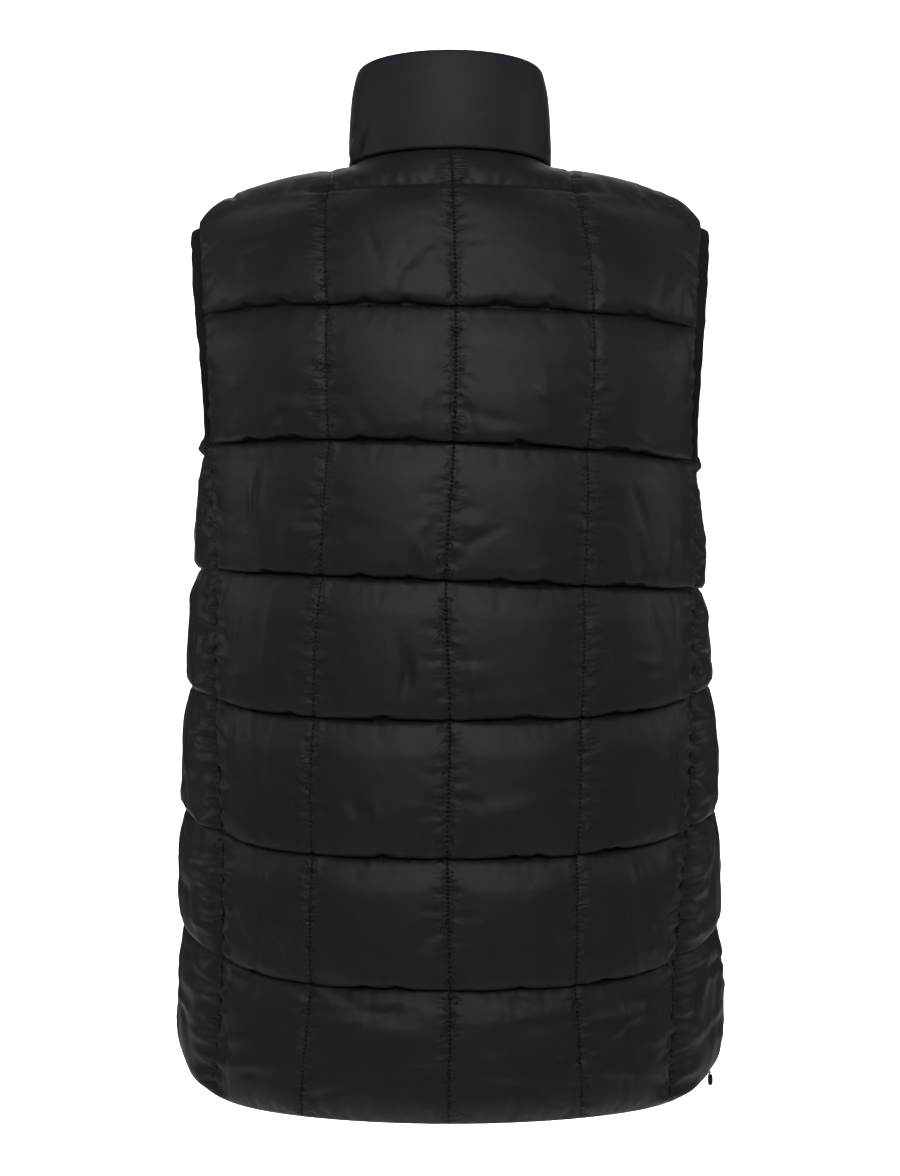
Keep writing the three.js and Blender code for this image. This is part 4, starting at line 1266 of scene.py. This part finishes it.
def hard_copy(node, name, body, look, width):
    """The CAD solid with its edges rounded off."""
    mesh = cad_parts[node].data.copy()
    mesh.materials.clear()
    mesh.materials.append(look)
    work = bmesh.new()
    work.from_mesh(mesh)
    bmesh.ops.remove_doubles(work, verts=work.verts, dist=0.01 * MM)
    bmesh.ops.dissolve_limit(work, angle_limit=math.radians(4), verts=work.verts, edges=work.edges)
    sharp = [edge for edge in work.edges if edge.calc_face_angle(0) > math.radians(35)]
    bmesh.ops.bevel(work, geom=sharp, offset=width, segments=2, profile=0.6, affect="EDGES",
                    clamp_overlap=True)
    bmesh.ops.triangulate(work, faces=work.faces)
    work.to_mesh(mesh)
    work.free()
    mesh.name = name
    made = placed(name, mesh)
    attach(made, body)
    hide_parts(node)
    return made


make_collar()
make_band("armhole_band_left", armhole_path(panels["back_panel"], panels["front_left"], 1), 1, 51)
make_band("armhole_band_right", armhole_path(panels["back_panel"], panels["front_right"], -1), -1, 52)
make_zip()
hard_copy("zip_slider", "zip_slider_body", "vest", METAL, 0.3 * MM)
hard_copy("zip_pull", "zip_pull_tab", "pull", METAL, 0.25 * MM)


# Stage and light

KEY_COLOUR = (0.93, 0.935, 1.0)
WHITE = (1, 1, 1)


def area_light(name, place, target, size, power, colour=KEY_COLOUR):
    data = bpy.data.lights.new(name, "AREA")
    data.color = colour
    data.shape = "RECTANGLE"
    data.size, data.size_y = size
    data.energy = power
    lamp = placed(name, data)
    lamp.location = place
    lamp.rotation_euler = (Vector(target) - Vector(place)).to_track_quat("-Z", "Y").to_euler()


FLOOR = -1.45                 # the floor under a wearer whose shoulders are at the origin
BACKDROP = 2.4                # how far in front of the part the backdrop stands
BEND = 0.8                    # radius of the backdrop's foot
BACKDROP_HALF = 1.15


def stage_sheet(name, profile, half, look):
    """A sheet of the stage: a profile of (y, z) points, so far to each side."""
    points = [(side * half, y, z) for y, z in profile for side in (-1, 1)]
    faces = [(2 * k, 2 * k + 1, 2 * k + 3, 2 * k + 2) for k in range(len(profile) - 1)]
    mesh = bpy.data.meshes.new(name)
    mesh.from_pydata(points, [], faces)
    mesh.polygons.foreach_set("use_smooth", [True] * len(faces))
    mesh.materials.append(look)
    placed(name, mesh)


def make_stage():
    """Pale floor, and a narrower backdrop that curves up from it on the far side."""
    look, tree, shader = material("floor_paint", 0.9, 0.1)
    shades = mix_colours(tree, noise(tree, object_place(tree), 3), (0.86, 0.86, 0.86), (0.9, 0.9, 0.9))
    tree.links.new(shades, shader.inputs["Base Color"])
    sweep = []
    for step in range(13):
        turn = math.radians(90 * step / 12)
        sweep.append((BEND - BACKDROP - BEND * math.sin(turn), FLOOR + 0.002 + BEND * (1 - math.cos(turn))))
    sweep.append((-BACKDROP, 2.6))
    stage_sheet("floor", [(4.5, FLOOR), (-4.5, FLOOR)], 4.5, look)
    stage_sheet("backdrop", sweep, BACKDROP_HALF, look)


def make_light():
    world = bpy.data.worlds.new("studio")
    bpy.context.scene.world = world
    world.use_nodes = True
    background = world.node_tree.nodes["Background"]
    background.inputs["Color"].default_value = (0.93, 0.94, 1.0, 1)
    background.inputs["Strength"].default_value = 0.035
    bpy.context.scene.view_settings.view_transform = "Standard"
    area_light("key", (0, 2.0, 0.45), (0, 0.05, -0.05), (1.5, 0.7), 14)
    area_light("high", (0, 1.2, 1.3), (0, 0.05, -0.1), (1.2, 0.6), 8)
    for side in (-1, 1):
        area_light("side", (side * 1.9, 0.1, 0.3), (side * 0.2, 0.05, -0.35), (0.5, 1.0), 5)
    area_light("backdrop_high", (0, -1.1, 1.3), (0, -BACKDROP, 0.1), (2.2, 0.6), 80, WHITE)
    area_light("backdrop_low", (0, -1.1, -1.2), (0, -BACKDROP, -0.6), (2.2, 0.4), 55, WHITE)


make_stage()
make_light()
